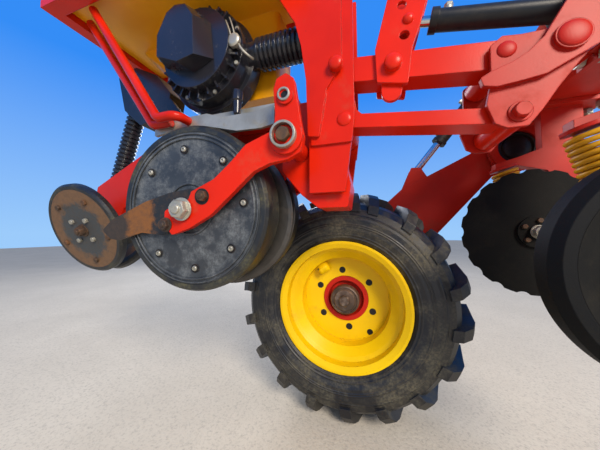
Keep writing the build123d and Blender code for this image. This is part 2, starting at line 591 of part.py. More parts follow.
# Grey bracket that carries the meter: a shelf on the spine, a web, a flange and a lip
with BuildPart() as meter_bracket:
    web_far = ROW_Y - SPINE_HALF_WIDTH - SEAT_GAP
    web_near = web_far - BRACKET_WALL

    def bracket_slab(rear, front, under, top, near, far):
        """A flat bar of the bracket."""
        plate_across([(rear, under), (front, under), (front, top), (rear, top)], near, far)

    bracket_slab(-420, -70, shelf_top - BRACKET_WALL, shelf_top, web_near, ROW_Y + 30)
    bracket_slab(-420, -110, BRACKET_FLANGE_Z, shelf_top, web_near, web_far)
    flange_top = BRACKET_FLANGE_Z + BRACKET_WALL
    bracket_slab(-420, -110, BRACKET_FLANGE_Z, flange_top, BRACKET_NEAR, web_far)
    lip = [
        (-458, 888), (-400, 902), (-358, 906), (-289, 906), (-237, 888), (-172, 888),
        (-141, 892), (-106, 898), (-106, 854), (-141, 849), (-203, 851), (-289, 874),
        (-360, 882), (-458, 870),
    ]
    plate_across(lip, BRACKET_NEAR, BRACKET_NEAR + BRACKET_WALL, 3.0)
save(meter_bracket.part, "meter_bracket")


def ribbed_hose(start, end, y, radius, ribs):
    """A ribbed hose along a straight line seen from the side: ribs stand on a thinner tube."""
    run = Vector(*end) - Vector(*start)
    pitch = run.length / ribs
    core = radius - HOSE_RIB_DEPTH
    rim_points = [(0.0, 0.0), (0.0, core)]
    for rib in range(ribs):
        x = rib * pitch
        rim_points += [(x + 0.2 * pitch, radius), (x + 0.7 * pitch, radius),
                       (x + 0.9 * pitch, core)]
    rim_points += [(run.length, core), (run.length, 0.0)]
    heading = Vector(run.X, 0, run.Y).normalized()
    plane = Plane(origin=at(start[0], y, start[1]), x_dir=heading, z_dir=(0, -1, 0))
    revolve(profile(plane, rim_points), axis=Axis(plane.origin, heading))


# Air hose: a ribbed hose from the meter forward to the row frame's web
with BuildPart() as air_hose:
    hose_start, hose_end = spigot_end + SEAT_GAP, -36.0 - SEAT_GAP
    ribbed_hose((hose_start, HOSE_Z), (hose_end, HOSE_Z), HOSE_Y, HOSE_R, HOSE_RIBS)
save(air_hose.part, "air_hose")

# Rear elbow: a moulded box on a foot, with a ribbed hose that drops behind the closing arm
with BuildPart() as rear_elbow:
    elbow = [
        (-786, 1183), (-700, 1200), (-600, 1150), (-540, 1078), (-552, 1017), (-616, 1002),
        (-670, 985), (-751, 1052),
    ]
    plate_across(elbow, ELBOW_NEAR, ELBOW_FAR, 8.0)
    foot_z = SPINE_TOP + SEAT_GAP
    foot = [(-476, foot_z), (-436, foot_z), (-540, 1060), (-580, 1020)]
    plate_across(foot, ELBOW_NEAR, ELBOW_NEAR + 12)
    hose_middle = (ELBOW_NEAR + ELBOW_FAR) / 2
    ribbed_hose(DROP_HOSE_TOP, DROP_HOSE_END, hose_middle, DROP_HOSE_R, DROP_HOSE_RIBS)
save(rear_elbow.part, "rear_elbow")

# Hopper rails, the hopper and its lid
with BuildPart() as hopper_rails:
    with BuildSketch(level(BIN_FLOOR - RAIL_HEIGHT)):
        middle = ((BIN_REAR + BIN_FRONT) / 2, (BIN_NEAR + BIN_FAR) / 2)
        with Locations(middle):
            long, wide = BIN_FRONT - BIN_REAR, BIN_FAR - BIN_NEAR
            Rectangle(long, wide)
            Rectangle(long - 2 * RAIL_WIDTH, wide - 2 * RAIL_WIDTH, mode=Mode.SUBTRACT)
    extrude(amount=RAIL_HEIGHT - SEAT_GAP)
save(hopper_rails.part, "hopper_rails")
with BuildPart() as hopper:
    with BuildSketch(level(BIN_FLOOR)):
        with Locations(middle):
            RectangleRounded(BIN_FRONT - BIN_REAR, BIN_FAR - BIN_NEAR, 30)
    extrude(amount=BIN_TOP - BIN_FLOOR)

    def sump(inset, under, top, mode):
        """The funnel under the bin, from a long mouth down to a short floor."""
        sections = []
        for z, rear, front in (
            (under, SUMP_REAR, SUMP_FRONT), (top, MOUTH_REAR, MOUTH_FRONT)
        ):
            with BuildSketch(level(z)) as section:
                with Locations(((rear + front) / 2, (SUMP_NEAR + SUMP_FAR) / 2)):
                    RectangleRounded(
                        front - rear - 2 * inset, SUMP_FAR - SUMP_NEAR - 2 * inset,
                        SUMP_CORNER - inset,
                    )
            sections.append(section.sketch)
        loft(sections, mode=mode)

    sump(0.0, SUMP_FLOOR, BIN_FLOOR, Mode.ADD)
    with BuildSketch(level(BIN_FLOOR + BIN_WALL)):
        with Locations(middle):
            RectangleRounded(
                BIN_FRONT - BIN_REAR - 2 * BIN_WALL, BIN_FAR - BIN_NEAR - 2 * BIN_WALL, 24
            )
    extrude(amount=BIN_TOP - BIN_FLOOR, mode=Mode.SUBTRACT)
    sump(BIN_WALL, SUMP_FLOOR + BIN_WALL, BIN_FLOOR + BIN_WALL, Mode.SUBTRACT)
save(hopper.part, "hopper")
with BuildPart() as hopper_lid:
    with BuildSketch(level(BIN_TOP + SEAT_GAP)):
        with Locations(middle):
            RectangleRounded(BIN_FRONT - BIN_REAR + 16, BIN_FAR - BIN_NEAR + 16, 34)
    extrude(amount=14.0)
save(hopper_lid.part, "hopper_lid")

# Hopper struts: bent tubes from the meter's bracket up to the rails
strut_top = BIN_FLOOR - RAIL_HEIGHT - SEAT_GAP
inner_strut_y = BRACKET_NEAR - STRUT_R - SEAT_GAP
STRUT_ROUTES = (
    [(-345, BRACKET_NEAR - SEAT_GAP, STRUT_Z), (-345, -448, STRUT_Z), (-405, -448, STRUT_Z),
     (-655, -448, strut_top)],
    [(-390, inner_strut_y, STRUT_Z), (-450, inner_strut_y, STRUT_Z),
     (-712, inner_strut_y, strut_top)],
)
with BuildPart() as hopper_struts:
    for route in STRUT_ROUTES:
        with BuildLine() as path:
            FilletPolyline(*[at(*point) for point in route], radius=2 * STRUT_R)
        with BuildSketch(Plane(origin=path.line @ 0, z_dir=path.line % 0)):
            Circle(STRUT_R)
        sweep(path=path.line)
save(hopper_struts.part, "hopper_struts")

# Support wheel: tyre with lugs, rim and hub, all turned about the axle along y
wheel_turning = Plane(origin=at(0, 0, WHEEL_Z), x_dir=(1, 0, 0), z_dir=(0, 0, 1))
wheel_axis = Axis(at(0, 0, WHEEL_Z), (0, 1, 0))


def wheel_turned(points):
    """A solid turned about the support wheel's axle: points are (radius, y)."""
    with BuildPart() as solid:
        with BuildSketch(wheel_turning):
            with BuildLine():
                Polyline(*points, close=True)
            make_face()
        revolve(axis=wheel_axis)
    return solid.part


carcass_outer = [(CARCASS_R, 0), (CARCASS_R - 3, 60), (CARCASS_R - 14, 104), (318, 124),
                 (285, TYRE_HALF_WIDTH), (250, 130), (222, 120), (RIM_FLANGE_R, 112),
                 (BEAD_R + SEAT_GAP, 108)]
carcass_inner = [(BEAD_R + SEAT_GAP, 92), (222, 98), (252, 112), (285, 118), (312, 110),
                 (CARCASS_R - 26, 90), (CARCASS_R - 18, 0)]
LUG_ENVELOPE = [(TYRE_R, 0), (TYRE_R - 6, 85), (TYRE_R - 18, 112), (336, 131), (310, 131),
                (310, 100), (330, 0)]
with BuildPart() as support_tyre:
    add(wheel_turned(carcass_outer + carcass_inner
                     + [(r, -y) for r, y in reversed(carcass_outer + carcass_inner)][1:-1]))
    lug_top = Plane(origin=at(0, 0, WHEEL_Z + 300), x_dir=(1, 0, 0), z_dir=(0, 0, 1))
    with BuildPart(mode=Mode.PRIVATE) as lug:
        with BuildSketch(lug_top):
            with BuildLine():
                Polyline((-14, -8), (16, -8), (44, 60), (62, 131), (30, 131), (10, 60),
                         close=True)
            make_face()
        extrude(amount=TYRE_R - 300 + 4)
        add(wheel_turned(LUG_ENVELOPE), mode=Mode.INTERSECT)
    step = 360.0 / LUGS_PER_SIDE
    other = mirror(lug.part, about=Plane(origin=at(0, 0, 0), z_dir=(0, 1, 0)))
    for index in range(LUGS_PER_SIDE):
        add(lug.part.rotate(wheel_axis, index * step))
        add(other.rotate(wheel_axis, (index + 0.5) * step))
save(support_tyre.part, "support_tyre")

rim_outer = [(RIM_WELL_R, 0), (RIM_WELL_R, 48), (BEAD_R - 12, 72), (BEAD_R, 80), (BEAD_R, 108),
             (RIM_FLANGE_R, 113), (RIM_FLANGE_R, RIM_HALF_WIDTH)]
rim_inner = [(RIM_FLANGE_R - 8, RIM_HALF_WIDTH), (BEAD_R - 6, 114), (BEAD_R - 6, 84),
             (BEAD_R - 18, 76), (RIM_WELL_R - 6, 52), (RIM_WELL_R - 6, 0)]
with BuildPart() as support_rim:
    add(wheel_turned(rim_outer + rim_inner
                     + [(r, -y) for r, y in reversed(rim_outer + rim_inner)][1:-1]))
    add(wheel_turned([(HUB_R + SEAT_GAP, DISC_Y), (RIM_WELL_R - 3, DISC_Y),
                      (RIM_WELL_R - 3, DISC_Y + DISC_THICK), (HUB_R + SEAT_GAP, DISC_Y + DISC_THICK)]))
    for index in range(6):
        angle = math.radians(STUD_PHASE + 60 * index)
        x, z = STUD_CIRCLE_R * math.cos(angle), WHEEL_Z - STUD_CIRCLE_R * math.sin(angle)
        bar_across(x, z, STUD_HOLE_R, -30, 30, mode=Mode.SUBTRACT)
save(support_rim.part, "support_rim")

with BuildPart() as support_hub:
    add(wheel_turned([
        (HUB_BORE_R, 10), (58, 10), (64, DISC_Y - 4), (HUB_R, DISC_Y - 4),
        (HUB_R, DISC_Y + DISC_THICK + SEAT_GAP), (124, DISC_Y + DISC_THICK + SEAT_GAP), (124, 16),
        (76, 18), (66, 95), (HUB_BORE_R, 95),
    ]))
save(support_hub.part, "support_hub")

# Trailing leg with the wheel's spindle
with BuildPart() as wheel_leg:
    leg_outline = [
        (590, 970), (470, 922), (210, 790), (70, 660), (-30, 470), (-58, 372), (-30, 318),
        (30, 308), (200, 440), (345, 612), (560, 862), (620, 862), (645, 930),
    ]
    plate_across(leg_outline, LEG_NEAR_Y, LEG_FAR_Y, 14.0)
    bar_across(LEG_X, LEG_Z, LEG_PIN_R + PIN_GAP, LEG_NEAR_Y, LEG_FAR_Y, mode=Mode.SUBTRACT)
    ear = [(205, 770), (320, 820), (285, 878), (250, 880)]
    for ear_near in (JACK_Y - 34, JACK_Y + 24):
        plate_across(ear, ear_near, ear_near + 10, 6.0)
    bar_across(LEG_EYE_X, LEG_EYE_Z, EYE_PIN_R, JACK_Y - 34, JACK_Y + 34)
save(wheel_leg.part, "wheel_leg")
with BuildPart() as wheel_spindle:
    bar_across(0, WHEEL_Z, SPINDLE_R, -2, LEG_NEAR_Y - SEAT_GAP)
    bar_across(0, WHEEL_Z, 46.0, 100.0, LEG_NEAR_Y - SEAT_GAP)
    bar_across(0, WHEEL_Z, 44.0, -8, 6)
save(wheel_spindle.part, "wheel_spindle")

# Bracket under the bar that holds the leg's pivot and the jack's base
with BuildPart() as leg_bracket:
    bracket_outline = [
        (500, BAR_UNDER - SEAT_GAP), (500, 950), (520, 860), (590, 830), (660, 860),
        (715, 930), (740, BAR_UNDER - SEAT_GAP),
    ]
    near_plate = LEG_NEAR_Y - RUN_GAP - BRACKET_PLATE
    far_plate = LEG_FAR_Y + RUN_GAP
    for plate_near in (near_plate, far_plate):
        plate_across(bracket_outline, plate_near, plate_near + BRACKET_PLATE, 10.0)
        bar_across(LEG_X, LEG_Z, LEG_BOSS_R, plate_near, plate_near + BRACKET_PLATE)
    bar_across(
        LEG_X, LEG_Z, LEG_COLLAR_R, near_plate - LEG_COLLAR_LENGTH, near_plate, LEG_COLLAR_BORE
    )
    with BuildSketch(level(BAR_UNDER - SEAT_GAP)):
        with Locations((620, (near_plate + far_plate + BRACKET_PLATE) / 2)):
            Rectangle(240, far_plate + BRACKET_PLATE - near_plate + 2 * FOOT_BOLT_OUT + 24)
        bolt_reach = BAR_SIZE / 2 + SEAT_GAP + U_BOLT_R
        for bolt_y in (near_plate - FOOT_BOLT_OUT, far_plate + BRACKET_PLATE + FOOT_BOLT_OUT):
            with Locations((BAR_X - bolt_reach, bolt_y), (BAR_X + bolt_reach, bolt_y)):
                Circle(U_BOLT_R + SEAT_GAP, mode=Mode.SUBTRACT)
    extrude(amount=-14)
    bar_across(LEG_X, LEG_Z, LEG_PIN_R, near_plate, far_plate + BRACKET_PLATE)
    mast = [(500, 990), (560, 990), (555, 1195), (495, 1205), (484, 1170)]
    for mast_near in (JACK_Y - 38, JACK_Y + 28):
        plate_across(mast, mast_near, mast_near + 10, 6.0)
    bar_across(JACK_X, JACK_Z, EYE_PIN_R, JACK_Y - 38, JACK_Y + 38)
save(leg_bracket.part, "leg_bracket")
jack_barrel = barrel_part(
    (JACK_X, JACK_Z), (LEG_EYE_X, LEG_EYE_Z), JACK_Y, 24.0, 250.0, 14.0 + PIN_GAP
)
save(jack_barrel, "jack_barrel")
jack_rod = rod_part((JACK_X, JACK_Z), (LEG_EYE_X, LEG_EYE_Z), JACK_Y, 14.0, 180.0, 20.0)
save(jack_rod, "jack_rod")

# Fertiliser coulters: a hanger under the bar, an arm, a coil spring and a wheel or a disc
HANGERS = ((NEAR_COULTER_Y, NEAR_COULTER_AXLE), (FAR_COULTER_Y, FAR_COULTER_AXLE))
SEAT_THICK = 8.0
spring_run = Vector(*COULTER_SPRING_FOOT) - Vector(*COULTER_SPRING_TOP)
spring_unit = spring_run.normalized()


def spring_plane(y, offset):
    """The plane square to a coulter's spring, offset from its top along its length."""
    start = Vector(*COULTER_SPRING_TOP) + spring_unit * offset
    return Plane(
        origin=at(start.X, y, start.Y), x_dir=(0, 1, 0),
        z_dir=(spring_unit.X, 0, spring_unit.Y),
    )


def seat_plate(y, offset):
    """A round seat for one end of a coulter's spring."""
    extrude(ring(spring_plane(y, offset), 0, 0, COULTER_SPRING_R + COULTER_WIRE_R),
            amount=SEAT_THICK)


with BuildPart() as coulter_hangers:
    hanger_outline = [
        (590, BAR_UNDER - 10), (690, BAR_UNDER - 10), (690, 900), (672, 745), (645, 718),
        (618, 740), (604, 800), (530, 822), (474, 808), (474, 830), (540, 850), (592, 870),
    ]
    for y, _ in HANGERS:
        plate_across(hanger_outline, y - COULTER_HALF_THICK, y + COULTER_HALF_THICK)
        seat_plate(y, -SEAT_THICK)
        bar_across(
            *COULTER_PIVOT, COULTER_PIN_R + PIN_GAP, y - COULTER_HALF_THICK,
            y + COULTER_HALF_THICK, mode=Mode.SUBTRACT,
        )
        with BuildSketch(level(BAR_UNDER - SEAT_GAP)):
            with Locations((BAR_X, y)):
                Rectangle(BAR_SIZE + 60, HANGER_WIDTH)
                with GridLocations(2 * bolt_reach, 2 * HANGER_BOLT_REACH, 2, 2):
                    Circle(U_BOLT_R + SEAT_GAP, mode=Mode.SUBTRACT)
        extrude(amount=-12)
save(coulter_hangers.part, "coulter_hangers")

with BuildPart() as coulter_arms:
    for y, axle in HANGERS:
        arm_near, arm_far = y - COULTER_HALF_THICK, y + COULTER_HALF_THICK
        fork = (arm_near - 10 - SEAT_GAP, arm_far + SEAT_GAP)
        for cheek in fork:
            rounds = [(*COULTER_PIVOT, 26), (*axle, 24)]
            lever_end = Vector(*COULTER_SPRING_FOOT) + spring_unit * 20
            lever = [(*COULTER_PIVOT, 26), (lever_end.X, lever_end.Y, 18)]
            extrude(chain(side(cheek + 10), rounds), amount=10)
            extrude(chain(side(cheek + 10), lever), amount=10)
        seat_plate(y, spring_run.length)
        bar_across(*axle, 22.0, arm_near - 10, arm_far + 10)
        hub_far = y - COULTER_SPRING_R - COULTER_WIRE_R - RUN_GAP
        hub_wide = COULTER_WHEEL_WIDTH if y == NEAR_COULTER_Y else COULTER_DISC_THICK + 8
        bar_across(*axle, COULTER_AXLE_R, hub_far - hub_wide - 6, arm_near - 10)
        bar_across(*axle, COULTER_AXLE_R + 6, hub_far + SEAT_GAP, arm_near - 10)
        bar_across(*COULTER_PIVOT, COULTER_PIN_R, arm_near - 10, arm_far + 10)
save(coulter_arms.part, "coulter_arms")

# Coil springs: each wire is a helix with a few turns between its two seats
with BuildPart() as coulter_springs:
    coil_length = spring_run.length - 2 * (COULTER_WIRE_R + SEAT_GAP)
    for y, _ in HANGERS:
        coil_plane = spring_plane(y, COULTER_WIRE_R + SEAT_GAP)
        coil = coil_plane.location * Helix(
            pitch=coil_length / COULTER_TURNS, height=coil_length, radius=COULTER_SPRING_R,
            mode=Mode.PRIVATE,
        )
        with BuildSketch(Plane(origin=coil @ 0, z_dir=coil % 0)):
            Circle(COULTER_WIRE_R)
        sweep(path=coil)
save(coulter_springs.part, "coulter_springs")


def turned_across(x, z, points):
    """A solid turned about an axle across the machine: points are (radius, y)."""
    with BuildPart() as solid:
        with BuildSketch(Plane(origin=at(x, 0, z), x_dir=(1, 0, 0), z_dir=(0, 0, 1))):
            with BuildLine():
                Polyline(*points, close=True)
            make_face()
        revolve(axis=Axis(at(x, 0, z), (0, 1, 0)))
    return solid.part


# Coulter wheel on the near arm: a rubber tread on a dished steel wheel
wheel_far = NEAR_COULTER_Y - COULTER_SPRING_R - COULTER_WIRE_R - RUN_GAP
wheel_near = wheel_far - COULTER_WHEEL_WIDTH
tread_points = [
    (170, wheel_near), (188, wheel_near), (COULTER_WHEEL_R, wheel_near + 16),
    (COULTER_WHEEL_R, wheel_far - 16), (188, wheel_far), (170, wheel_far),
]
save(turned_across(*NEAR_COULTER_AXLE, tread_points), "coulter_tyre")
dish_points = [
    (COULTER_AXLE_R + PIN_GAP, wheel_near), (40, wheel_near), (44, wheel_near + 12),
    (150, wheel_near + 6), (170 - SEAT_GAP, wheel_near), (170 - SEAT_GAP, wheel_far),
    (150, wheel_far - 6), (44, wheel_far - 12), (40, wheel_far),
    (COULTER_AXLE_R + PIN_GAP, wheel_far),
]
save(turned_across(*NEAR_COULTER_AXLE, dish_points), "coulter_wheel")

# Coulter disc on the far arm: a thin steel disc with a wavy edge and a bolted hub
disc_far = FAR_COULTER_Y - COULTER_SPRING_R - COULTER_WIRE_R - RUN_GAP
disc_near = disc_far - COULTER_DISC_THICK
NOTCHES, NOTCH_R = 18, 26.0
with BuildPart() as coulter_disc:
    x, z = FAR_COULTER_AXLE
    bar_across(x, z, COULTER_DISC_R, disc_near, disc_far, COULTER_AXLE_R + PIN_GAP)
    bar_across(x, z, 46.0, disc_near - 8, disc_near, COULTER_AXLE_R + PIN_GAP)
    for index in range(NOTCHES):
        angle = 2 * math.pi * index / NOTCHES
        reach = COULTER_DISC_R + NOTCH_R - 7
        bar_across(
            x + reach * math.cos(angle), z + reach * math.sin(angle), NOTCH_R,
            disc_near, disc_far, mode=Mode.SUBTRACT,
        )
save(coulter_disc.part, "coulter_disc")

# U-bolts that clamp the brackets to the bar, each with its two nuts
bolt_offset = BAR_SIZE / 2 + SEAT_GAP + U_BOLT_R
BOLT_TAIL = 34.0
under_bolts = [near_plate - FOOT_BOLT_OUT, far_plate + BRACKET_PLATE + FOOT_BOLT_OUT]
for y, _ in HANGERS:
    under_bolts += [y - HANGER_BOLT_REACH, y + HANGER_BOLT_REACH]
with BuildPart() as u_bolts:
    for y in under_bolts:
        below = BAR_UNDER - BOLT_TAIL
        above = BAR_Z + bolt_offset
        route = [(BAR_X - bolt_offset, y, below), (BAR_X - bolt_offset, y, above),
                 (BAR_X + bolt_offset, y, above), (BAR_X + bolt_offset, y, below)]
        with BuildLine() as path:
            FilletPolyline(*[at(*point) for point in route], radius=BAR_CORNER + U_BOLT_R)
        with BuildSketch(Plane(origin=path.line @ 0, z_dir=path.line % 0)):
            Circle(U_BOLT_R)
        sweep(path=path.line)
        for x in (BAR_X - bolt_offset, BAR_X + bolt_offset):
            with BuildSketch(level(BAR_UNDER - 28)):
                with Locations((x, y)):
                    RegularPolygon(14.0, 6)
            extrude(amount=12.0)
    for y in (ROW_Y - HEAD_BOLT_REACH, ROW_Y + HEAD_BOLT_REACH):
        behind = BAR_BACK - BOLT_TAIL
        ahead = BAR_X + bolt_offset
        route = [(behind, y, BAR_Z - bolt_offset), (ahead, y, BAR_Z - bolt_offset),
                 (ahead, y, BAR_Z + bolt_offset), (behind, y, BAR_Z + bolt_offset)]
        with BuildLine() as path:
            FilletPolyline(*[at(*point) for point in route], radius=BAR_CORNER + U_BOLT_R)
        with BuildSketch(Plane(origin=path.line @ 0, z_dir=path.line % 0)):
            Circle(U_BOLT_R)
        sweep(path=path.line)
        for z in (BAR_Z - bolt_offset, BAR_Z + bolt_offset):
            with BuildSketch(across(BAR_BACK - 28)):
                with Locations((y, z)):
                    RegularPolygon(14.0, 6)
            extrude(amount=12.0)
save(u_bolts.part, "u_bolts")
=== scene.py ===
# %% [markdown]
# # A planting row of a precision planter
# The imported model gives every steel, rubber and plastic body at its real size. This
# lesson dresses it: first the frame is loaded, then camera, floor and light, then the
# finishes one by one, and last the small pieces that only the eye needs.

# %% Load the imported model
import json
import math

import bpy
import numpy as np
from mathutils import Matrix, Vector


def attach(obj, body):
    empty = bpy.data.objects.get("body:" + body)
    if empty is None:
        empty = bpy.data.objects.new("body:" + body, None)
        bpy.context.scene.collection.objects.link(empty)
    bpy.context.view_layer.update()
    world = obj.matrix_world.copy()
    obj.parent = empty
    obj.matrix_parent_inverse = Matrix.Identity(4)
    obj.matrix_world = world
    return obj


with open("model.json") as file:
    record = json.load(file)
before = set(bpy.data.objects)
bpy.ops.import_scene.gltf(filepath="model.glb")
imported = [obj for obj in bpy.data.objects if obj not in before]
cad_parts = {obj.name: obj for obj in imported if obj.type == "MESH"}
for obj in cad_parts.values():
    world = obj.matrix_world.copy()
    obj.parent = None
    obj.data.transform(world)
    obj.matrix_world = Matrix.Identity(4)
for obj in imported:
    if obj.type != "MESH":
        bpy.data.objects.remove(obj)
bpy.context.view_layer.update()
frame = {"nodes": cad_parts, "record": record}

# %% [markdown]
# ## Where things are
# The model's origin lies on the flange of the frame bar. On the machine it is easier to
# count from the ground under the support wheel, with x forward, y to the far side and z
# up, in millimetres, so one function turns such a point into the model's metres.

# %% Points counted from the ground under the support wheel
BAR_X, FLANGE_Y, BAR_Z = 640.0, 334.0, 1075.0
ROW_Y = -306.0
WHEEL_Z = 372.0


def at(x, y, z):
    """Millimetres from the ground under the support wheel to the model's metres."""
    return np.stack([np.asarray(x) - BAR_X, np.asarray(y) - FLANGE_Y, np.asarray(z) - BAR_Z],
                    axis=-1) / 1000.0


print("support wheel's centre", at(0, 0, WHEEL_Z))

# %% [markdown]
# ## Camera
# The photograph was taken with a wide lens from knee height, close to the gauge wheel,
# looking slightly up and to the left. Focal length and place were worked out from the
# ellipses of the yellow rim and of the tyre.

# %% Camera
FOCAL_PIXELS, IMAGE_WIDTH = 230.85, 600.0
camera_data = bpy.data.cameras.new("camera")
camera_data.sensor_width = 36.0
camera_data.lens = camera_data.sensor_width * FOCAL_PIXELS / IMAGE_WIDTH
camera_data.clip_end = 200.0
camera = bpy.data.objects.new("camera", camera_data)
camera.location = at(105.1, -873.6, 609.9)
camera.rotation_euler = (math.radians(91.985), 0.0, math.radians(18.02))
bpy.context.scene.collection.objects.link(camera)
bpy.context.scene.camera = camera
print("camera at", [round(v, 3) for v in camera.location])

# %% [markdown]
# ## Node helper
# A material in Blender is a graph of nodes. One small function adds a node, sets its
# values and links its inputs, so that each finish below reads as a list. A second one
# turns the usual sRGB hex value of a colour into the linear numbers that nodes take.

# %% Colour and node helpers
def linear(code):
    """sRGB hex to linear RGBA: each channel c becomes ((c + 0.055) / 1.055) ** 2.4."""
    channels = [int(code[i:i + 2], 16) / 255 for i in (1, 3, 5)]
    return [c / 12.92 if c <= 0.04045 else ((c + 0.055) / 1.055) ** 2.4 for c in channels] + [1]


def put(tree, kind, links=None, **settings):
    """Adds a node: settings are its properties or input values, links feed its inputs."""
    node = tree.nodes.new(kind)
    for name, value in settings.items():
        label = name[0].upper() + name[1:].replace("_", " ")
        if label in node.inputs:
            node.inputs[label].default_value = value
        else:
            setattr(node, name, value)
    for name, socket in (links or {}).items():
        tree.links.new(socket, node.inputs[name])
    return node


def new_material(name):
    """An empty material and its node tree, with the surface's output node."""
    material = bpy.data.materials.new(name)
    material.use_nodes = True
    material.node_tree.nodes.clear()
    return material, material.node_tree


print("white is", linear("#FFFFFF"))

# %% [markdown]
# ## Shared patterns
# Farm machines carry three layers of age: patches of dried soil dust, fine grain in the
# surface, and bright or rusty wear along edges. Each is a noise read in the object's own
# metres, so 1 / size gives the number of patches per metre.

# %% Shared patterns
def coordinates(tree):
    """The surface's own coordinates, in metres."""
    return put(tree, "ShaderNodeTexCoord").outputs["Object"]


def noise(tree, size_mm, detail=4.0, rough=0.55):
    """A cloud pattern whose patches are about size_mm wide."""
    return put(tree, "ShaderNodeTexNoise", {"Vector": coordinates(tree)},
               scale=1000.0 / size_mm, detail=detail, roughness=rough).outputs["Fac"]


def ramp(tree, fac, low, high, out_low=0.0, out_high=1.0):
    """Stretches a 0 to 1 value between two limits."""
    return put(tree, "ShaderNodeMapRange", {"Value": fac}, From_Min=low, From_Max=high,
               To_Min=out_low, To_Max=out_high).outputs["Result"]


def blend_colour(tree, fac, one, two):
    """Mixes two colours, each a hex value or a socket."""
    mix = put(tree, "ShaderNodeMix", data_type="RGBA")
    tree.links.new(fac, mix.inputs["Factor"])
    for socket, colour in ((mix.inputs[6], one), (mix.inputs[7], two)):
        if isinstance(colour, str):
            socket.default_value = linear(colour)
        else:
            tree.links.new(colour, socket)
    return mix.outputs[2]


def calculate(tree, operation, one, two):
    """A Math node on two values, each a number or a socket."""
    node = put(tree, "ShaderNodeMath", operation=operation)
    for index, value in enumerate((one, two)):
        if isinstance(value, (int, float)):
            node.inputs[index].default_value = value
        else:
            tree.links.new(value, node.inputs[index])
    return node.outputs[0]


def round_axle(x, y, z, across=False):
    """Millimetres from a point, or from the line across the machine through that point."""
    def measure(tree):
        place = coordinates(tree)
        if across:
            flat = put(tree, "ShaderNodeVectorMath", {0: place}, operation="MULTIPLY")
            flat.inputs[1].default_value = (1.0, 0.0, 1.0)
            place = flat.outputs[0]
        gap = put(tree, "ShaderNodeVectorMath", {0: place}, operation="DISTANCE")
        centre = at(x, y, z) * ([1.0, 0.0, 1.0] if across else 1.0)
        gap.inputs[1].default_value = centre.tolist()
        return calculate(tree, "MULTIPLY", gap.outputs["Value"], 1000.0)
    return measure


def edge_wear(tree, width_mm):
    """0 on flat surfaces and 1 along sharp edges: a rounded normal against the true one."""
    rounded = put(tree, "ShaderNodeBevel", samples=4, radius=width_mm / 1000.0)
    true = put(tree, "ShaderNodeNewGeometry").outputs["Normal"]
    dot = put(tree, "ShaderNodeVectorMath", operation="DOT_PRODUCT")
    tree.links.new(rounded.outputs["Normal"], dot.inputs[0])
    tree.links.new(true, dot.inputs[1])
    return ramp(tree, dot.outputs["Value"], 0.98, 0.8), rounded.outputs["Normal"]


def finish_surface(tree, colour, roughness, bump=None, normal=None, bump_mm=0.2, **settings):
    """Ends a tree with the Principled shader, its bump and the output node."""
    shader = put(tree, "ShaderNodeBsdfPrincipled", **settings)
    for name, value in (("Base Color", colour), ("Roughness", roughness)):
        if isinstance(value, str):
            shader.inputs[name].default_value = linear(value)
        elif isinstance(value, (int, float)):
            shader.inputs[name].default_value = value
        else:
            tree.links.new(value, shader.inputs[name])
    if bump is not None:
        relief = put(tree, "ShaderNodeBump", {"Height": bump}, distance=bump_mm / 1000.0)
        if normal is not None:
            tree.links.new(normal, relief.inputs["Normal"])
        tree.links.new(relief.outputs["Normal"], shader.inputs["Normal"])
    elif normal is not None:
        tree.links.new(normal, shader.inputs["Normal"])
    put(tree, "ShaderNodeOutputMaterial", {"Surface": shader.outputs["BSDF"]})


# %% [markdown]
# ## Alkyd enamel on steel
# Frame and arms are welded steel, shot blasted and sprayed with a red alkyd enamel. It
# is glossy when new. Here it is dulled by dust in large patches, with small chips down
# to the dark steel along its edges.

# %% Red and yellow enamel
def enamel(name, colour, shade, dust, dust_from=0.5, gloss=0.32, chip="#4A332B"):
    """Sprayed enamel: two tones of its colour, dust in patches and chips along edges."""
    material, tree = new_material(name)
    body = blend_colour(tree, ramp(tree, noise(tree, 240.0), 0.35, 0.65), colour, shade)
    film = calculate(tree, "MULTIPLY", ramp(tree, noise(tree, 90.0, 8.0, 0.65), dust_from, 0.85),
                     ramp(tree, noise(tree, 9.0, 6.0), 0.3, 0.6, 0.1, 0.6))
    dusty = blend_colour(tree, film, body, dust)
    edges, soft = edge_wear(tree, 2.5)
    chips = calculate(tree, "MULTIPLY", edges, ramp(tree, noise(tree, 14.0, 6.0), 0.5, 0.56))
    specks = ramp(tree, noise(tree, 11.0, 8.0, 0.8), 0.66, 0.69, 0.0, 0.8)
    worn = blend_colour(tree, calculate(tree, "MAXIMUM", chips, specks), dusty, chip)
    finish_surface(tree, worn, ramp(tree, film, 0.0, 0.7, gloss, 0.75), noise(tree, 3.0, 3.0),
                   soft, 0.12, specular_IOR_Level=0.2)
    return material


FINISHES = {
    "frame_red": enamel("alkyd enamel, frame red", "#BE2314", "#A41A12", "#8A4A38", 0.54, 0.42),
    "arm_red": enamel("alkyd enamel, arm red", "#D2240C", "#BC1D0A", "#9A5E48", 0.6, 0.28),
    "rim_yellow": enamel("alkyd enamel, rim yellow", "#EDC70A", "#E0B606", "#9A8038", 0.58, 0.34),
    "spring_yellow": enamel("alkyd enamel, spring yellow", "#D6A018", "#B8821C", "#7A6038", 0.5),
    "cylinder_black": enamel("alkyd enamel, black", "#16191F", "#1E2126", "#4E4638", 0.42, 0.36),
}
print("enamels:", ", ".join(FINISHES))

# %% [markdown]
# ## Rubber
# Tyres and treads are carbon-black rubber. Where they touch soil they keep a dry grey
# and olive film, thickest in the grooves between the lugs and thin on rubbed edges.

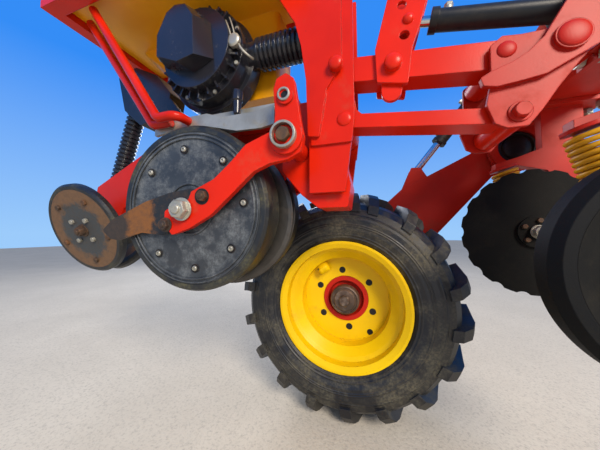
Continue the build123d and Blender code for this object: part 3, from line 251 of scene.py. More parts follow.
# %% Tyre and tread rubber
def rubber(name, black, soil, soil_from, grain_mm=2.5, rough=0.42, lines=(), **more):
    """Carbon-black rubber, soil in patches; lines are radii of ribs round the support axle."""
    material, tree = new_material(name)
    patches = ramp(tree, noise(tree, 70.0, 8.0, 0.7), soil_from, soil_from + 0.22)
    specks = ramp(tree, noise(tree, 6.0, 5.0), 0.42, 0.62, 0.3, 1.0)
    edges, soft = edge_wear(tree, 3.0)
    film = calculate(tree, "MULTIPLY", calculate(tree, "MULTIPLY", patches, specks),
                     ramp(tree, edges, 0.0, 1.0, 1.0, 0.4))
    colour = blend_colour(tree, film, black, soil)
    relief = calculate(tree, "MULTIPLY", noise(tree, grain_mm, 4.0), 0.35)
    if lines:
        radius = round_axle(0, 0, WHEEL_Z, across=True)(tree)
        for line in lines:
            gap = calculate(tree, "ABSOLUTE", calculate(tree, "SUBTRACT", radius, line), 0)
            relief = calculate(tree, "ADD", relief, ramp(tree, gap, 0.0, 3.5, 1.6, 0.0))
    roughness = ramp(tree, film, 0.0, 1.0, rough, 0.9)
    finish_surface(tree, colour, roughness, relief, soft, 1.0, **more)
    return material


FINISHES["tyre_rubber"] = rubber("natural rubber, lug tyre", "#141519", "#5C584A", 0.44,
                                 lines=(224, 233, 262, 268, 296))
FINISHES["tread_rubber"] = rubber("natural rubber, press tread", "#1D1F22", "#5A5842", 0.46)
# Painted shade: the coulter wheel's black rubber and its soil are darker than the other rubbers.
COULTER_RUBBER_PAINTED_SHADE = rubber("natural rubber, coulter wheel, painted shade", "#08090A", "#1C1B16", 0.5,
                        rough=0.7, specular_IOR_Level=0.2)
print("rubbers: tyre, tread and", COULTER_RUBBER_PAINTED_SHADE.name)

# %% [markdown]
# ## Moulded plastics
# Three plastics are used. The gauge wheels' covers are glass-filled nylon, scuffed grey
# by soil and stalks. The seed meter is glossy moulded ABS. The hopper is rotomoulded
# polyethylene, coloured all through, waxy and slightly see-through at thin walls.

# %% Moulded plastics
def moulded(name, colour, second, scuff, scuff_from, gloss, grain_mm, bump_mm=0.08, **more):
    """Moulded plastic: two close tones, pale scuffs, fine grain; soil dulls its gloss."""
    material, tree = new_material(name)
    tones = blend_colour(tree, ramp(tree, noise(tree, 120.0), 0.35, 0.65), colour, second)
    scuffs = calculate(tree, "MULTIPLY",
                       ramp(tree, noise(tree, 45.0, 9.0, 0.72), scuff_from, 0.75),
                       ramp(tree, noise(tree, 4.0, 6.0), 0.35, 0.6, 0.4, 1.0))
    edges, soft = edge_wear(tree, 2.0)
    marks = calculate(tree, "MAXIMUM", scuffs, calculate(tree, "MULTIPLY", edges, 0.35))
    finish_surface(tree, blend_colour(tree, marks, tones, scuff),
                   ramp(tree, scuffs, 0.0, 1.0, gloss, 0.7), noise(tree, grain_mm, 3.0), soft,
                   bump_mm, **more)
    return material


FINISHES["cover_grey"] = moulded("glass-filled nylon, charcoal", "#282C32", "#383D44",
                                 "#7E858C", 0.46, 0.38, 2.0, 0.2)
FINISHES["meter_black"] = moulded("moulded ABS, black", "#1F2027", "#25262E", "#4A4946",
                                  0.6, 0.2, 1.5, 0.05)
FINISHES["hopper_yellow"] = moulded("rotomoulded polyethylene, amber", "#F4AE14", "#EAA00C",
                                    "#C99A50", 0.62, 0.36, 3.0, 0.1)
print("finishes so far", len(FINISHES))

# %% [markdown]
# ## Bare and plated metal
# Bolts and the meter's bracket are zinc plated, dull grey after some seasons. Discs are
# boron steel that the soil polishes, and the scrapers and closing wheels' plates have
# lost their paint and rusted.

# %% Bare and plated metal
def metal(name, colour, second, stain, stain_from, rough, grain_mm, metallic=1.0):
    """Metal in two tones with stains in patches, which are rough and not metallic."""
    material, tree = new_material(name)
    tones = blend_colour(tree, ramp(tree, noise(tree, 60.0), 0.35, 0.65), colour, second)
    stains = calculate(tree, "MULTIPLY",
                       ramp(tree, noise(tree, 50.0, 8.0, 0.7), stain_from, stain_from + 0.2),
                       ramp(tree, noise(tree, 5.0, 6.0), 0.35, 0.6, 0.45, 1.0))
    _, soft = edge_wear(tree, 1.5)
    shader = put(tree, "ShaderNodeBsdfPrincipled")
    tree.links.new(blend_colour(tree, stains, tones, stain), shader.inputs["Base Color"])
    tree.links.new(ramp(tree, stains, 0.0, 1.0, rough, 0.85), shader.inputs["Roughness"])
    tree.links.new(ramp(tree, stains, 0.0, 1.0, metallic, 0.0), shader.inputs["Metallic"])
    relief = put(tree, "ShaderNodeBump", {"Height": noise(tree, grain_mm, 4.0), "Normal": soft},
                 distance=0.0002)
    tree.links.new(relief.outputs["Normal"], shader.inputs["Normal"])
    put(tree, "ShaderNodeOutputMaterial", {"Surface": shader.outputs["BSDF"]})
    return material


FINISHES["zinc_steel"] = metal("zinc plated steel", "#B4B2A6", "#9A988D", "#7E705A",
                               0.55, 0.4, 3.0, 0.55)
FINISHES["disc_steel"] = metal("boron steel, soil polished", "#4A4845", "#5C5955", "#3F3129",
                               0.5, 0.38, 3.0, 0.8)
FINISHES["rusty_steel"] = metal("mild steel, rusted", "#453A33", "#54402F", "#7C5230",
                                0.45, 0.55, 2.0, 0.4)
FINISHES["rod_chrome"] = metal("hard chrome", "#C9CACB", "#BFC1C2", "#7A6F60", 0.62, 0.12, 4.0)
# Painted shade: the coulters' wheel and disc steel is near-black and not metallic, with faint brown
# scuffs.
COULTER_STEEL_PAINTED_SHADE = moulded("boron steel, near-black painted shade", "#0C0C0A", "#12110E", "#1F1C15",
                        0.5, 0.75, 4.0, 0.3, specular_IOR_Level=0.2)
GREASY_STEEL = metal("forged steel, greasy", "#6B5648", "#4A3E36", "#8C8078",
                     0.5, 0.45, 3.0, 0.5)
print("finishes now", len(FINISHES))

# %% [markdown]
# ## Worn paint in zones
# Two steel parts wear by place. The scraper keeps black paint near its bolts, rusts
# where soil rubs it and is caked at its tip. The pressed disc of a closing wheel rusts
# outside its bolts and stays dark grey inside them.

# %% Worn paint in zones
FRAY_MM = 90.0
CLOSING_HUB = {"near": (-782.0, -386.0, 618.0), "far": (-782.0, -226.0, 618.0)}


def zones(name, measure, marks, blur_mm=10.0):
    """Colours along a measure in millimetres, with borders that a cloud pattern frays."""
    material, tree = new_material(name)
    cloud = calculate(tree, "SUBTRACT", noise(tree, 25.0, 8.0, 0.7), 0.5)
    fray = calculate(tree, "MULTIPLY", cloud, FRAY_MM)
    value = calculate(tree, "ADD", measure(tree), fray)
    colour = marks[0][1]
    for edge, tint in marks[1:]:
        colour = blend_colour(tree, ramp(tree, value, edge - blur_mm, edge + blur_mm), colour, tint)
    grime = calculate(tree, "MULTIPLY", ramp(tree, noise(tree, 12.0, 8.0, 0.75), 0.45, 0.7), 0.6)
    _, soft = edge_wear(tree, 1.5)
    finish_surface(tree, blend_colour(tree, grime, colour, "#4A3A2C"), 0.62,
                   noise(tree, 4.0, 6.0), soft, 0.4)
    return material


def along_x(tree):
    """Millimetres behind the support wheel's axle."""
    x = put(tree, "ShaderNodeSeparateXYZ", {"Vector": coordinates(tree)}).outputs["X"]
    return calculate(tree, "SUBTRACT", calculate(tree, "MULTIPLY", x, -1000.0), BAR_X)


SCRAPER = zones("steel, black paint and rust", along_x,
                ((0, "#1A1E22"), (412, "#7C4E22"), (480, "#332A22")))
CLOSING_DISC = {side: zones(f"pressed steel, {side} disc", round_axle(*hub),
                            ((0, "#3C4144"), (88, "#6F5238")))
                for side, hub in CLOSING_HUB.items()}
print("zoned finishes", 1 + len(CLOSING_DISC))

# %% [markdown]
# ## Dress the model
# Each node of the model names its finish in the record, so one loop gives every body its
# material. A few nodes get theirs by name: the scrapers and closing discs are worn by zone, and the
# coulter's tyre, wheel and disc carry painted shade.

# %% Dress the model
SLOT_OF = {part["node"]: part["material_slot"] for part in frame["record"]["subparts"]}
BY_NAME = {"scrapers": SCRAPER, "closing_disc_near": CLOSING_DISC["near"],
           "closing_disc_far": CLOSING_DISC["far"], "coulter_tyre": COULTER_RUBBER_PAINTED_SHADE,
           "coulter_wheel": COULTER_STEEL_PAINTED_SHADE, "coulter_disc": COULTER_STEEL_PAINTED_SHADE}
for node, obj in frame["nodes"].items():
    for slot in obj.material_slots:
        slot.material = BY_NAME.get(node, FINISHES[SLOT_OF[node]])
print("dressed", len(SLOT_OF), "nodes,", len(BY_NAME), "of them by name")

# %% [markdown]
# ## Hardware
# Bolts, washers, caps and plugs are shells of rings. Each ring is a radius and a height
# above the face that the piece stands on. A hexagon's ring reaches as far as its flats
# allow: the distance to a flat over the cosine of the angle from that flat's middle.

# %% Shells made of rings
def rings(rows, sides=24, hexagon=(), closed=False):
    """Rings about z joined by quads, with flat ends, or closed on themselves as a tube."""
    radius, height = np.asarray(rows, float).T
    angle = np.arange(sides) * 2 * math.pi / sides
    reach = np.repeat(radius[:, None], sides, 1)
    for index in hexagon:
        reach[index] /= np.cos((angle + math.pi / 6) % (math.pi / 3) - math.pi / 6)
    points = np.stack([reach * np.cos(angle), reach * np.sin(angle),
                       np.repeat(height[:, None], sides, 1)], -1).reshape(-1, 3)
    first = np.arange(len(rows) * sides).reshape(-1, sides)
    second = np.roll(first, -1, 0)
    if not closed:
        first, second = first[:-1], second[:-1]
    faces = np.stack([first, np.roll(first, -1, 1), np.roll(second, -1, 1), second],
                     -1).reshape(-1, 4).tolist()
    if not closed:
        top = (len(rows) - 1) * sides
        faces += [list(range(sides))[::-1], list(range(top, top + sides))]
    return points, faces


def placed(shape, centre, direction, turn=0.0):
    """Turns a shape's z to a direction: a point is centre + x across + y up + z direction."""
    out = np.asarray(direction, float) / np.linalg.norm(direction)
    across = np.cross([0.0, 0.0, 1.0], out)
    if np.linalg.norm(across) < 0.01:
        across = np.array([1.0, 0.0, 0.0])
    across /= np.linalg.norm(across)
    up = np.cross(out, across)
    c, s = math.cos(math.radians(turn)), math.sin(math.radians(turn))
    basis = np.stack([across * c + up * s, up * c - across * s, out])
    return shape[0] @ basis + np.asarray(centre, float), shape[1]


def piece(name, body, slot, shapes, material=None):
    """Joins shapes in millimetres from the ground into one mesh that rides on a body."""
    points, faces, start = [], [], 0
    for some, sides in shapes:
        points.append(some)
        faces += [[start + index for index in face] for face in sides]
        start += len(some)
    mesh = bpy.data.meshes.new(name)
    mesh.from_pydata(at(*np.concatenate(points).T).tolist(), [], faces)
    mesh.shade_smooth()
    mesh.set_sharp_from_angle(angle=math.radians(35))
    mesh.materials.append(material or FINISHES[slot])
    obj = bpy.data.objects.new(name, mesh)
    bpy.context.scene.collection.objects.link(obj)
    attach(obj, body)
    return obj


def bolt(flats, height=None, washer=0.0, stud=0.0):
    """A hexagon head or nut: across flats, with an optional washer radius and stud length."""
    half, height = flats / 2, height or 0.45 * flats
    lift = 3.0 if washer else 0.0
    rows = [(half, lift), (half, lift + 0.8 * height), (0.96 * half, lift + height)]
    shells = [rings(rows, 24, (0, 1))]
    if washer:
        shells.append(rings([(washer, 0), (washer, 2.4), (washer - 0.6, 3.0)], 28))
    if stud:
        top = lift + height
        shells.append(rings([(0.55 * half, top - 1), (0.55 * half, top + stud - 1.5),
                             (0.45 * half, top + stud)], 16))
    return shells


def dome(radius, height):
    """A round head: each ring's radius follows the cosine and its height the sine."""
    steps = np.linspace(0, 1.45, 7)
    return [rings([(radius, -1.0)] + [(radius * math.cos(t), height * math.sin(t))
                                      for t in steps], 24)]


def collar(outer, inner, height):
    """A short tube standing on a face, with a rounded outer edge."""
    return [rings([(inner, 0), (outer, 0), (outer, height - 1), (outer - 1, height),
                   (inner, height)], 28, closed=True)]


def socket(radius, height):
    """A button head with a round recess: out, over the edge and down into the recess."""
    return [rings([(radius, 0), (radius, 0.5 * height), (0.75 * radius, height),
                   (0.42 * radius, height), (0.4 * radius, 0.35 * height)], 20)]


print("a bolt has", len(bolt(24)[0][0]), "points")

# %% [markdown]
# ## Faces of the leaning wheels
# The gauge wheels and closing wheels lean and toe a little. Their faces have a centre, a
# forward and an upward direction and an outward one, and the far side mirrors the near.

# %% Faces of the leaning wheels
def wheel_face(centre, turn, lean, far=False):
    """Centre, forward, up and outward of a leaning wheel's face, mirrored for the far side."""
    toe, tilt = math.radians(turn), math.radians(lean)
    outward = -np.array([math.sin(toe) * math.cos(tilt), math.cos(toe) * math.cos(tilt),
                         math.sin(tilt)])
    forward = np.array([1.0, 0.0, 0.0]) - outward * outward[0]
    forward /= np.linalg.norm(forward)
    up = np.cross(forward, outward)
    up *= np.sign(up[2])
    centre = np.array(centre, float)
    if far:
        centre[1] = 2 * ROW_Y - centre[1]
        outward, forward, up = (v * [1, -1, 1] for v in (outward, forward, up))
    return centre, forward, up, outward


def on_face(face, radius, degrees, lift=0.0):
    """A point by radius and angle on a wheel's face, lifted off it."""
    centre, forward, up, outward = face
    a = math.radians(degrees)
    return centre + radius * (math.cos(a) * forward + math.sin(a) * up) + lift * outward


def seen_at(face, x, z, lift):
    """The point above a wheel's face that the side view shows at x and z."""
    centre, _, _, outward = face
    depth = lift - (x - centre[0]) * outward[0] - (z - centre[2]) * outward[2]
    return np.array([x, centre[1] + depth / outward[1], z])


GAUGE_NEAR = ((-315.0, -433.0, 667.0), -4.0, 3.6)
CLOSING_NEAR = (CLOSING_HUB["near"], -2.5, 20.0)
print("gauge face looks", np.round(wheel_face(*GAUGE_NEAR)[3], 3))

# %% [markdown]
# ## Gauge wheels
# Eight button-head screws hold each moulded cover, each on a dark disc that paints the shade
# of its shallow dimple, and rings run round it near its edge and its hub. The arm carries the
# axle's nut, two smaller nuts that clamp the scraper, and at the pivot a tube end with a bolt
# inside. Dark discs paint the shade inside the pits.
# The far wheel passes close to the support wheel's tyre, so its axle has a flat nut.

# %% Gauge wheels
ARM_FACE, TUBE_FACE, BUSH_FACE = 30.0, 37.0, 33.5
COVER_SCREWS = [4.0 + 45.0 * k for k in range(8)]
SCREW_CIRCLE = 142.0
PIVOT, BUSH = (-62, 800), (-62, 881)


def shade_disc(face, place, lift, radius):
    """A dark disc on the arm that paints the shade in a pit, where the side view shows the place.
    """
    return placed(rings([(radius, 0), (radius, 1)], 28), seen_at(face, *place, lift), face[3])


def arm_ring(face, place, lift, outer, inner, height):
    """A tube end on the arm, where the side view shows the place."""
    return placed(collar(outer, inner, height)[0], seen_at(face, *place, lift), face[3])


for side_name, far in (("near", False), ("far", True)):
    face = wheel_face(*GAUGE_NEAR, far)
    centre, _, _, outward = face
    screws = [placed(shell, on_face(face, SCREW_CIRCLE, degrees, 0.5), outward, 20 * k)
              for k, degrees in enumerate(COVER_SCREWS) for shell in socket(6.5, 4.5)]
    piece(f"cover_screws_{side_name}", f"gauge_wheel_{side_name}", "zinc_steel", screws)
    bands = [rings([(r - w, -0.5), (r + w, -0.5), (r + 0.6 * w, 2.2), (r - 0.6 * w, 2.2)],
                   72, closed=True) for r, w in ((168.0, 3.0), (176.5, 2.0), (60.0, 3.0))]
    piece(f"cover_bands_{side_name}", f"gauge_wheel_{side_name}", "cover_grey",
          [placed(band, centre + 0.8 * outward, outward) for band in bands])
    # Dark discs under the screws paint the shade in the cover's shallow dimples.
    dimple_shades = [placed(rings([(10.5, 0), (10.5, 0.9)], 20),
                      on_face(face, SCREW_CIRCLE, degrees), outward)
               for degrees in COVER_SCREWS]
    piece(f"cover_dimple_shades_{side_name}", f"gauge_wheel_{side_name}", "cylinder_black", dimple_shades)
    nuts, brown = [], []
    axle_nut = (ARM_FACE, bolt(38, 6)) if far else (ARM_FACE + 4, bolt(38, 15, 26, 5))
    for some, x, z, lift, shells in (
        (nuts, -306, 663, *axle_nut),
        (brown, -253, 691, ARM_FACE, bolt(22, 10, 0, 3)),
        (brown, -354, 629, ARM_FACE, bolt(22, 9, 17, 3)),
        (brown, *PIVOT, TUBE_FACE + 1, bolt(26, 14)),
    ):
        some += [placed(shell, seen_at(face, x, z, lift), outward, 17) for shell in shells]
    piece(f"arm_nuts_{side_name}", "row_unit", "zinc_steel", nuts)
    piece(f"scraper_bolts_{side_name}", "row_unit", "rusty_steel", brown)
    # Dark discs paint the shade in the pits round a scraper bolt, in the pivot's tube end and in
    # the bush.
    piece(f"arm_shade_discs_{side_name}", "row_unit", "cylinder_black",
          [shade_disc(face, (-256, 690), ARM_FACE - 0.2, 18), shade_disc(face, PIVOT, TUBE_FACE, 21),
           shade_disc(face, BUSH, BUSH_FACE, 9)])
    piece(f"arm_rings_{side_name}", "row_unit", "zinc_steel",
          [arm_ring(face, PIVOT, TUBE_FACE, 26, 21, 13), arm_ring(face, BUSH, BUSH_FACE, 13, 9, 5)])
print("screws on each gauge cover", len(COVER_SCREWS))

# %% [markdown]
# ## Closing wheels
# Five bolts on a circle near the rim join the two halves of the pressed disc, and four
# more sit round the hub with its axle nut.

# %% Closing wheels
RIM_CIRCLE, HUB_CIRCLE = 103, 44
for side_name, far in (("near", False), ("far", True)):
    face = wheel_face(*CLOSING_NEAR, far)
    centre, _, _, outward = face
    brown = [placed(shell, on_face(face, RIM_CIRCLE, 59 + 72 * k), outward, 31 * k)
             for k in range(5) for shell in bolt(15, 7)]
    brown += [placed(shell, centre - 1.2 * outward, outward) for shell in bolt(27, 16, 21, 4)]
    piece(f"closing_bolts_{side_name}", f"closing_wheel_{side_name}", "rusty_steel", brown)
    bright = [placed(shell, on_face(face, HUB_CIRCLE, 47 + 90 * k, -1), outward, 11 * k)
              for k in range(4) for shell in bolt(14, 8)]
    piece(f"closing_hub_bolts_{side_name}", f"closing_wheel_{side_name}", "zinc_steel", bright)
print("closing wheels' bolt circles", RIM_CIRCLE, "and", HUB_CIRCLE, "mm")

# %% [markdown]
# ## Row frame and linkage
# The linkage's pins end in domed heads, painted over with the plates. Zinc plated bolts
# hold the casting under the hopper, and the lift straps keep a plain cap at each joint.

# %% Row frame and linkage
STRAP_Y = ROW_Y - 36
for sign in (-1, 1):
    way = (0, sign, 0)
    tag = "near" if sign < 0 else "far"
    heads = []
    for x, z, reach, shells in (
        (28, 973, 90, dome(15, 6)), (44, 857, 71, dome(16, 5)),
        (-62, 1216, 78, bolt(19, 8, 14)), (18, 1216, 78, bolt(19, 8, 14)),
    ):
        heads += [placed(shell, (x, ROW_Y + sign * reach, z), way, 9) for shell in shells]
    piece(f"row_bolts_{tag}", "row_unit", "zinc_steel", heads[2:])
    piece(f"row_pin_heads_{tag}", "row_unit", "arm_red", heads[:2])
    head_ends = []
    for x, z, reach, shells in (
        (332, 938, 72, dome(15, 5)), (348, 822, 72, bolt(24, 10, 18)),
        (414, 933, 88, dome(22, 5)), (440, 1012, 82, bolt(19, 8, 14)),
    ):
        head_ends += [placed(shell, (x, ROW_Y + sign * reach, z), way, 25) for shell in shells]
    piece(f"head_pins_{tag}", "frame", "frame_red", head_ends)
    strap_side = STRAP_Y + sign * 32
    caps = [placed(shell, (143, strap_side + sign * 10, 957), way) for shell in dome(17, 7)]
    caps += [placed(shell, (174, strap_side, 1045), way) for shell in dome(11, 8)]
    piece(f"strap_caps_{tag}", "upper_arm", "arm_red", caps)
print("lift straps are centred at", STRAP_Y, "mm across")

# %% [markdown]
# ## Leg pivot and support wheel
# A black cap closes the recess round the leg's pin. The wheel's hub ends in a greased cap
# with a nut in its middle. The rim's disc has dark discs that paint the shade in its stud holes
# round it and in one more hole, the tyre's valve, and a bent plate that guards the valve, made
# as a sheet of points that gets its thickness last.

# %% Leg pivot and support wheel
LEG_PIN, AXLE_FACE, RIM_FACE = (590, 149, 917), -8.0, -6.0
plug = [rings([(56, 0), (56, 8), (53, 10), (49, 10), (46, 3), (44, 3)], 40),
        rings([(40, 2), (40, 8), (36, 11), (20, 13), (6, 13)], 36)]
piece("leg_plug", "frame", "cylinder_black",
      [placed(shell, LEG_PIN, (0, -1, 0)) for shell in plug])
axle_end = [rings([(50, 0), (51, 3), (51, 27), (49, 31), (44, 33), (42, 30)], 40),
            rings([(38, 28), (38, 34), (35, 37), (24, 38)], 32)]
axle_end += [rings([(18, 36), (18, 45), (16, 48)], 24, (0, 1))]
piece("axle_cap", "support_wheel", "rusty_steel",
      [placed(shell, (0, AXLE_FACE, WHEEL_Z), (0, -1, 0), 12) for shell in axle_end],
      GREASY_STEEL)
valve = [placed(rings([(6, 0), (6, 18), (4.5, 19), (4.5, 36), (3.5, 37)], 16),
                (-84, -7, 484), (-0.3, -1, -0.25))]
piece("tyre_valve", "support_wheel", "cylinder_black", valve)


def guard_plate(degrees, half_width, columns=13):
    """A hood over the valve, with rows from its foot to its lip and t from -1 to 1 across.

    A point is reach - a little t^2 out from the axle, half_width * t across, and stands
    rise * (1 - t^4 / 2) off the rim's disc, so that the hood falls away at its sides.
    """
    a = math.radians(degrees)
    out = np.array([math.cos(a), 0, math.sin(a)])
    across = np.array([math.sin(a), 0, -math.cos(a)])
    rows = np.array([(0.0, 152.0), (26.0, 150.0), (38.0, 136.0), (34.0, 118.0)])
    rise, reach = rows.T[:, :, None]
    t = np.linspace(-1, 1, columns)[None, :]
    outward = reach - 4.4 * (1 - 0.35 * t * t) * t * t
    lift = -6.5 - rise * (1 - 0.5 * t ** 4)
    points = (outward[..., None] * out + (half_width * t)[..., None] * across
              + lift[..., None] * [0, 1, 0] + [0, 0, WHEEL_Z])
    grid = np.arange(4 * columns).reshape(4, columns)
    faces = np.stack([grid[:-1, :-1], grid[:-1, 1:], grid[1:, 1:], grid[1:, :-1]], -1)
    return points.reshape(-1, 3), faces.reshape(-1, 4).tolist()


guard = piece("valve_guard", "support_wheel", "rim_yellow", [guard_plate(126, 21)])
guard.modifiers.new("plate", "SOLIDIFY").thickness = 0.003
STUD_CIRCLE, HOLE_SHADE_FACE = 102.5, RIM_FACE - 0.1
# Dark discs paint the shade in the rim's stud holes and in one more hole.
hole_shades = [placed(rings([(10.4, 0), (10.4, 0.8)], 24), (84, HOLE_SHADE_FACE, 259), (0, -1, 0))]
for k in range(6):
    a = -math.radians(23.5 + 60 * k)
    foot = (STUD_CIRCLE * math.cos(a), HOLE_SHADE_FACE, WHEEL_Z + STUD_CIRCLE * math.sin(a))
    hole_shades.append(placed(rings([(11.4, 0), (11.4, 0.8)], 24), foot, (0, -1, 0)))
piece("rim_hole_shades", "support_wheel", "cylinder_black", hole_shades)
print("holes in the rim's disc", len(hole_shades))

# %% [markdown]
# ## Seed meter
# The housing carries a grey locking knob on its ribbed edge with wire clips, small screws
# round it, a nub at its back, and a plug's socket below. The cover itself is left bare.

# %% Seed meter
METER_X, METER_Z, METER_CIRCLE = -340, 1095, 119
knob = [rings([(16, 0), (17, 3), (17, 10), (14, 13), (10, 14)], 28),
        rings([(8, 0), (8, -24)][::-1], 16)]
shapes = [placed(shell, (-226, -384, 1092), (0, -1, 0)) for shell in knob]
shapes += [placed(shell, (-472, -372, 1112), (-0.5, -1, 0.1))
           for shell in [rings([(9, -14), (9, 10), (6, 14), (2, 15)], 20)]]
piece("meter_knob", "row_unit", "zinc_steel", shapes)
lugs = []
for k in range(8):
    a = math.radians(22 + 45 * k)
    foot = (METER_X + METER_CIRCLE * math.cos(a), -370, METER_Z + METER_CIRCLE * math.sin(a))
    lugs += [placed(shell, foot, (0, -1, 0), 13 * k) for shell in bolt(10, 5)]
piece("meter_screws", "row_unit", "zinc_steel", lugs)


def wire(points, radius, sides=8):
    """A round wire through points: at each one a ring square to the chord of its neighbours."""
    path = np.asarray(points, float)
    for _ in range(3):
        middle = (path[1:] + path[:-1]) / 2
        smooth = np.empty((2 * len(path) - 2, 3))
        smooth[0::2], smooth[1::2] = (path[:-1] + middle) / 2, (path[1:] + middle) / 2
        path = np.concatenate([path[:1], smooth, path[-1:]])
    chord = np.gradient(path, axis=0)
    chord /= np.linalg.norm(chord, axis=1, keepdims=True)
    one = np.cross(chord, [0.31, 0.2, 0.93])
    one /= np.linalg.norm(one, axis=1, keepdims=True)
    two = np.cross(chord, one)
    angle = np.arange(sides) * 2 * math.pi / sides
    skin = path[:, None] + radius * (np.cos(angle)[:, None] * one[:, None]
                                     + np.sin(angle)[:, None] * two[:, None])
    count = len(path)
    first = np.arange(count * sides).reshape(count, sides)[:-1]
    second = first + sides
    faces = np.stack([first, np.roll(first, -1, 1), np.roll(second, -1, 1), second],
                     -1).reshape(-1, 4).tolist()
    faces += [list(range(sides))[::-1], list(range((count - 1) * sides, count * sides))]
    return skin.reshape(-1, 3), faces


piece("meter_clips", "row_unit", "zinc_steel", [wire(points, radius) for points, radius in (
    ([(-262, -374, 1168), (-250, -392, 1150), (-236, -396, 1118), (-232, -392, 1096)], 1.8),
    ([(-252, -374, 1174), (-240, -390, 1156), (-226, -396, 1122), (-222, -392, 1098)], 1.8),
    ([(-216, -388, 1086), (-206, -386, 1066), (-192, -372, 1056), (-190, -358, 1060)], 3.0),
)])
socket_end = [rings([(13, 0), (14, 3), (14, 26), (11, 29), (9, 60), (7, 62)], 24)]
piece("meter_socket", "row_unit", "meter_black",
      [placed(shell, (-226, -372, 972), (0.02, -0.05, -1)) for shell in socket_end])
print("screws round the seed meter", len(lugs))

# %% [markdown]
# ## Coulters, cylinders, welds and the hopper's latches
# The coulter wheel is bolted through its dish and both coulters end in an axle nut. Each
# cylinder has two ports with hexagon fittings. A weld is a bead of overlapping drops, so
# its radius follows a sine along its run. Rubber straps hold the hopper's lid.

# %% Coulters, cylinders, welds and latches
def ribbon(path, across, width, thick):
    """A bent strip: at each point of a path four corners, across it and square to it."""
    path, across = np.asarray(path, float), np.asarray(across, float)
    chord = np.gradient(path, axis=0)
    chord /= np.linalg.norm(chord, axis=1, keepdims=True)
    out = np.cross(chord, across)
    corners = [path + across * w + out * t for w, t in
               ((-width / 2, 0), (width / 2, 0), (width / 2, thick), (-width / 2, thick))]
    points = np.stack(corners, 1)
    first = np.arange(len(path) * 4).reshape(-1, 4)[:-1]
    second = first + 4
    faces = np.stack([first, np.roll(first, -1, 1), np.roll(second, -1, 1), second],
                     -1).reshape(-1, 4).tolist()
    last = (len(path) - 1) * 4
    return points.reshape(-1, 3), faces + [[3, 2, 1, 0], [last, last + 1, last + 2, last + 3]]


def round_weld(radius, centre, direction):
    """A weld bead round a tube: a small arch turned about the axis, rippled by a sine."""
    points, faces = rings([(radius - 1, -1), (radius + 4.5, 0), (radius + 3.6, 2.6),
                           (radius + 1, 4), (radius - 1, 4)], 120, closed=True)
    angle = np.arctan2(points[:, 1], points[:, 0])
    points[:, :2] *= (1 + 0.9 / radius * np.sin(40 * angle))[:, None]
    return placed((points, faces), centre, direction)


def straight_weld(start, end, radius=3.6):
    """A weld bead along a line: rings whose radius ripples by a sine of the distance."""
    run = np.subtract(end, start).astype(float)
    length = np.linalg.norm(run)
    along = np.linspace(0, length, int(length / 1.6))
    rows = [(radius * (1 + 0.16 * math.sin(1.3 * h)), h) for h in along]
    return placed(rings(rows, 8), start, run)


WELD_Y = FLANGE_Y - 17
welds = [straight_weld((x, WELD_Y, 1000), (x, WELD_Y, 1150)) for x in (565, 715)]
welds += [straight_weld((565, WELD_Y, z), (715, WELD_Y, z)) for z in (1000, 1150)]
welds += [round_weld(82, LEG_PIN, (0, 1, 0))]
piece("frame_welds", "frame", "frame_red", welds)
piece("rim_weld", "support_wheel", "rim_yellow",
      [round_weld(150, (0, RIM_FACE, WHEEL_Z), (0, -1, 0))])

NEAR_AXLE, FAR_AXLE = (583.0, -388.0, 551.0), (553.0, -29.0, 613.0)
ends = [placed(shell, place, (0, -1, 0), 8) for place in (NEAR_AXLE, FAR_AXLE)
        for shell in bolt(30, 13, 20, 5)]
piece("coulter_axle_nuts", "frame", "zinc_steel", ends)
dish = []
for k in range(6):
    a = math.radians(15 + 60 * k)
    dish += [placed(shell, (583 + 110 * math.cos(a), -373.4, 551 + 110 * math.sin(a)),
                    (0, -1, 0), 23 * k) for shell in bolt(17, 8, 14, 3)]
piece("coulter_wheel_bolts", "coulter_wheel", "rusty_steel", dish)
disc = []
for k in range(5):
    a = math.radians(8 + 72 * k)
    disc += [placed(shell, (553 + 34 * math.cos(a), -23, 613 + 34 * math.sin(a)),
                    (0, -1, 0), 17 * k) for shell in bolt(13, 7)]
piece("coulter_disc_bolts", "coulter_disc", "rusty_steel", disc)

for name, base, tip, y, radius, marks in (
    ("lift", (440, 1012), (180, 1062), STRAP_Y, 20, (62, 195)),
    ("jack", (510, 1180), (262, 858), 205, 24, (70, 218)),
):
    run = np.subtract(tip, base) / np.hypot(*np.subtract(tip, base))
    out = np.array([-run[1], 0, run[0]]) * np.sign(run[0])
    ports = []
    for mark in marks:
        foot = np.array([base[0] + run[0] * mark, y, base[1] + run[1] * mark])
        fitting = (rings([(9, 0), (9, 6), (8, 7)], 20),
                   rings([(7.5, 6), (7.5, 14), (6, 15)], 24, (0, 1)))
        ports += [placed(shell, foot + out * (radius - 1.5), out) for shell in fitting]
    piece(f"{name}_ports", f"{name}_barrel", "zinc_steel", ports)

straps, pads = [], []
for x in (-640.0, -210.0):
    straps.append(ribbon([(x, -500.5, 1536), (x, -512, 1545), (x, -515, 1575), (x, -515, 1604),
                          (x, -511, 1617), (x, -496, 1619), (x, -486, 1616)], (1, 0, 0), 26, 4))
    pads += [placed(rings([(14, 0), (14, 3), (5, 3), (5, 7)], 24), (x, -500, 1540), (0, -1, 0))]
piece("lid_straps", "hopper_lid", "tyre_rubber", straps)
piece("strap_pads", "row_unit", "zinc_steel", pads)
print("weld beads", len(welds) + 1, "and lid straps", len(straps))

# %% [markdown]
# ## Floor, sky and light
# Pale asphalt lies just under the tyre's lowest lug. The light is a studio's, plain and
# soft, so that each colour shows about as it is written: a large warm key lamp stands behind
# the camera's right shoulder, a weaker one behind the machine, and an even sky fills the
# rest. The blue that the camera and glossy faces see is a backdrop, which lights nothing else.

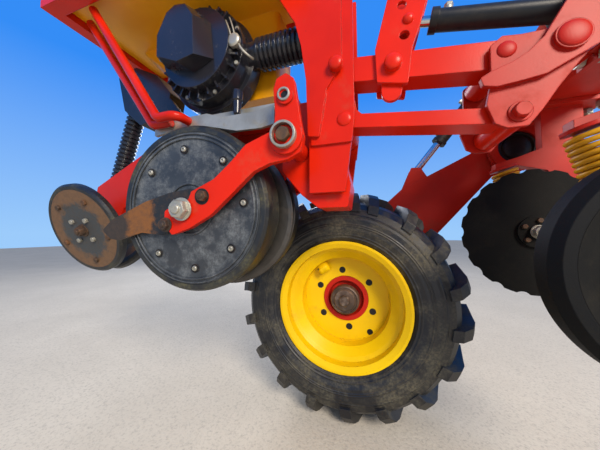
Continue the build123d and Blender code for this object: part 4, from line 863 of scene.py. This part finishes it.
# %% Floor, sky and light
SKY_LIGHT, KEY_WATTS, REAR_WATTS = 0.56, 270.0, 90.0
KEY_PLACE, REAR_PLACE, LAMP_SIZES = (2560, -3380, 2920), (-2400, 3200, 2600), (1.8, 2.4)
FLOOR_Z = -8.0
corners = at([-14000, 14000, 14000, -14000], [-6000, -6000, 22000, 22000], [FLOOR_Z] * 4)
floor_mesh = bpy.data.meshes.new("floor")
floor_mesh.from_pydata(corners.tolist(), [], [(0, 1, 2, 3)])
floor = bpy.data.objects.new("floor", floor_mesh)
bpy.context.scene.collection.objects.link(floor)
material, tree = new_material("asphalt, dry and pale")
patches = ramp(tree, noise(tree, 500.0, 8.0, 0.7), 0.3, 0.7)
spots = blend_colour(tree, patches, "#D4CEC6", "#C6C0B8")
grit = blend_colour(tree, ramp(tree, noise(tree, 9.0, 5.0, 0.8), 0.5, 0.7), spots, "#A9A5A0")
finish_surface(tree, grit, 0.9, noise(tree, 7.0, 5.0), None, 1.5)
floor_mesh.materials.append(material)

world = bpy.data.worlds.new("sky")
world.use_nodes = True
bpy.context.scene.world = world
tree = world.node_tree
tree.nodes.clear()
height = put(tree, "ShaderNodeSeparateXYZ",
             {"Vector": put(tree, "ShaderNodeTexCoord").outputs["Generated"]}).outputs["Z"]
sky_colour = blend_colour(tree, ramp(tree, height, 0.0, 0.5), "#9CCBFB", "#358DF6")
path = put(tree, "ShaderNodeLightPath")
seen = calculate(tree, "MAXIMUM", path.outputs["Is Camera Ray"],
                 calculate(tree, "MAXIMUM", path.outputs["Is Glossy Ray"],
                           path.outputs["Is Transmission Ray"]))
sky = put(tree, "ShaderNodeBackground", color=linear("#E4EEFF"), strength=SKY_LIGHT)
backdrop = put(tree, "ShaderNodeBackground", {"Color": sky_colour}, strength=1.0)
shown = put(tree, "ShaderNodeMixShader", {"Fac": seen})
tree.links.new(sky.outputs[0], shown.inputs[1])
tree.links.new(backdrop.outputs[0], shown.inputs[2])
put(tree, "ShaderNodeOutputWorld", {"Surface": shown.outputs[0]})


def lamp(name, place, aim, watts, colour, size):
    """A round soft lamp that looks at a point: places in millimetres, its size in metres."""
    data = bpy.data.lights.new(name, "AREA")
    data.energy, data.color = watts, linear(colour)[:3]
    data.shape, data.size = "DISK", size
    obj = bpy.data.objects.new(name, data)
    obj.location = at(*place)
    obj.rotation_euler = Vector(at(*aim) - at(*place)).to_track_quat("-Z", "Y").to_euler()
    bpy.context.scene.collection.objects.link(obj)
    return obj


key = lamp("key", KEY_PLACE, (0, -300, 650), KEY_WATTS, "#FFF1DC", LAMP_SIZES[0])
lamp("rear", REAR_PLACE, (0, -200, 700), REAR_WATTS, "#FFFFFF", LAMP_SIZES[1])
bpy.context.scene.view_settings.view_transform = "Standard"
print("key lamp at", [round(v, 1) for v in key.location])
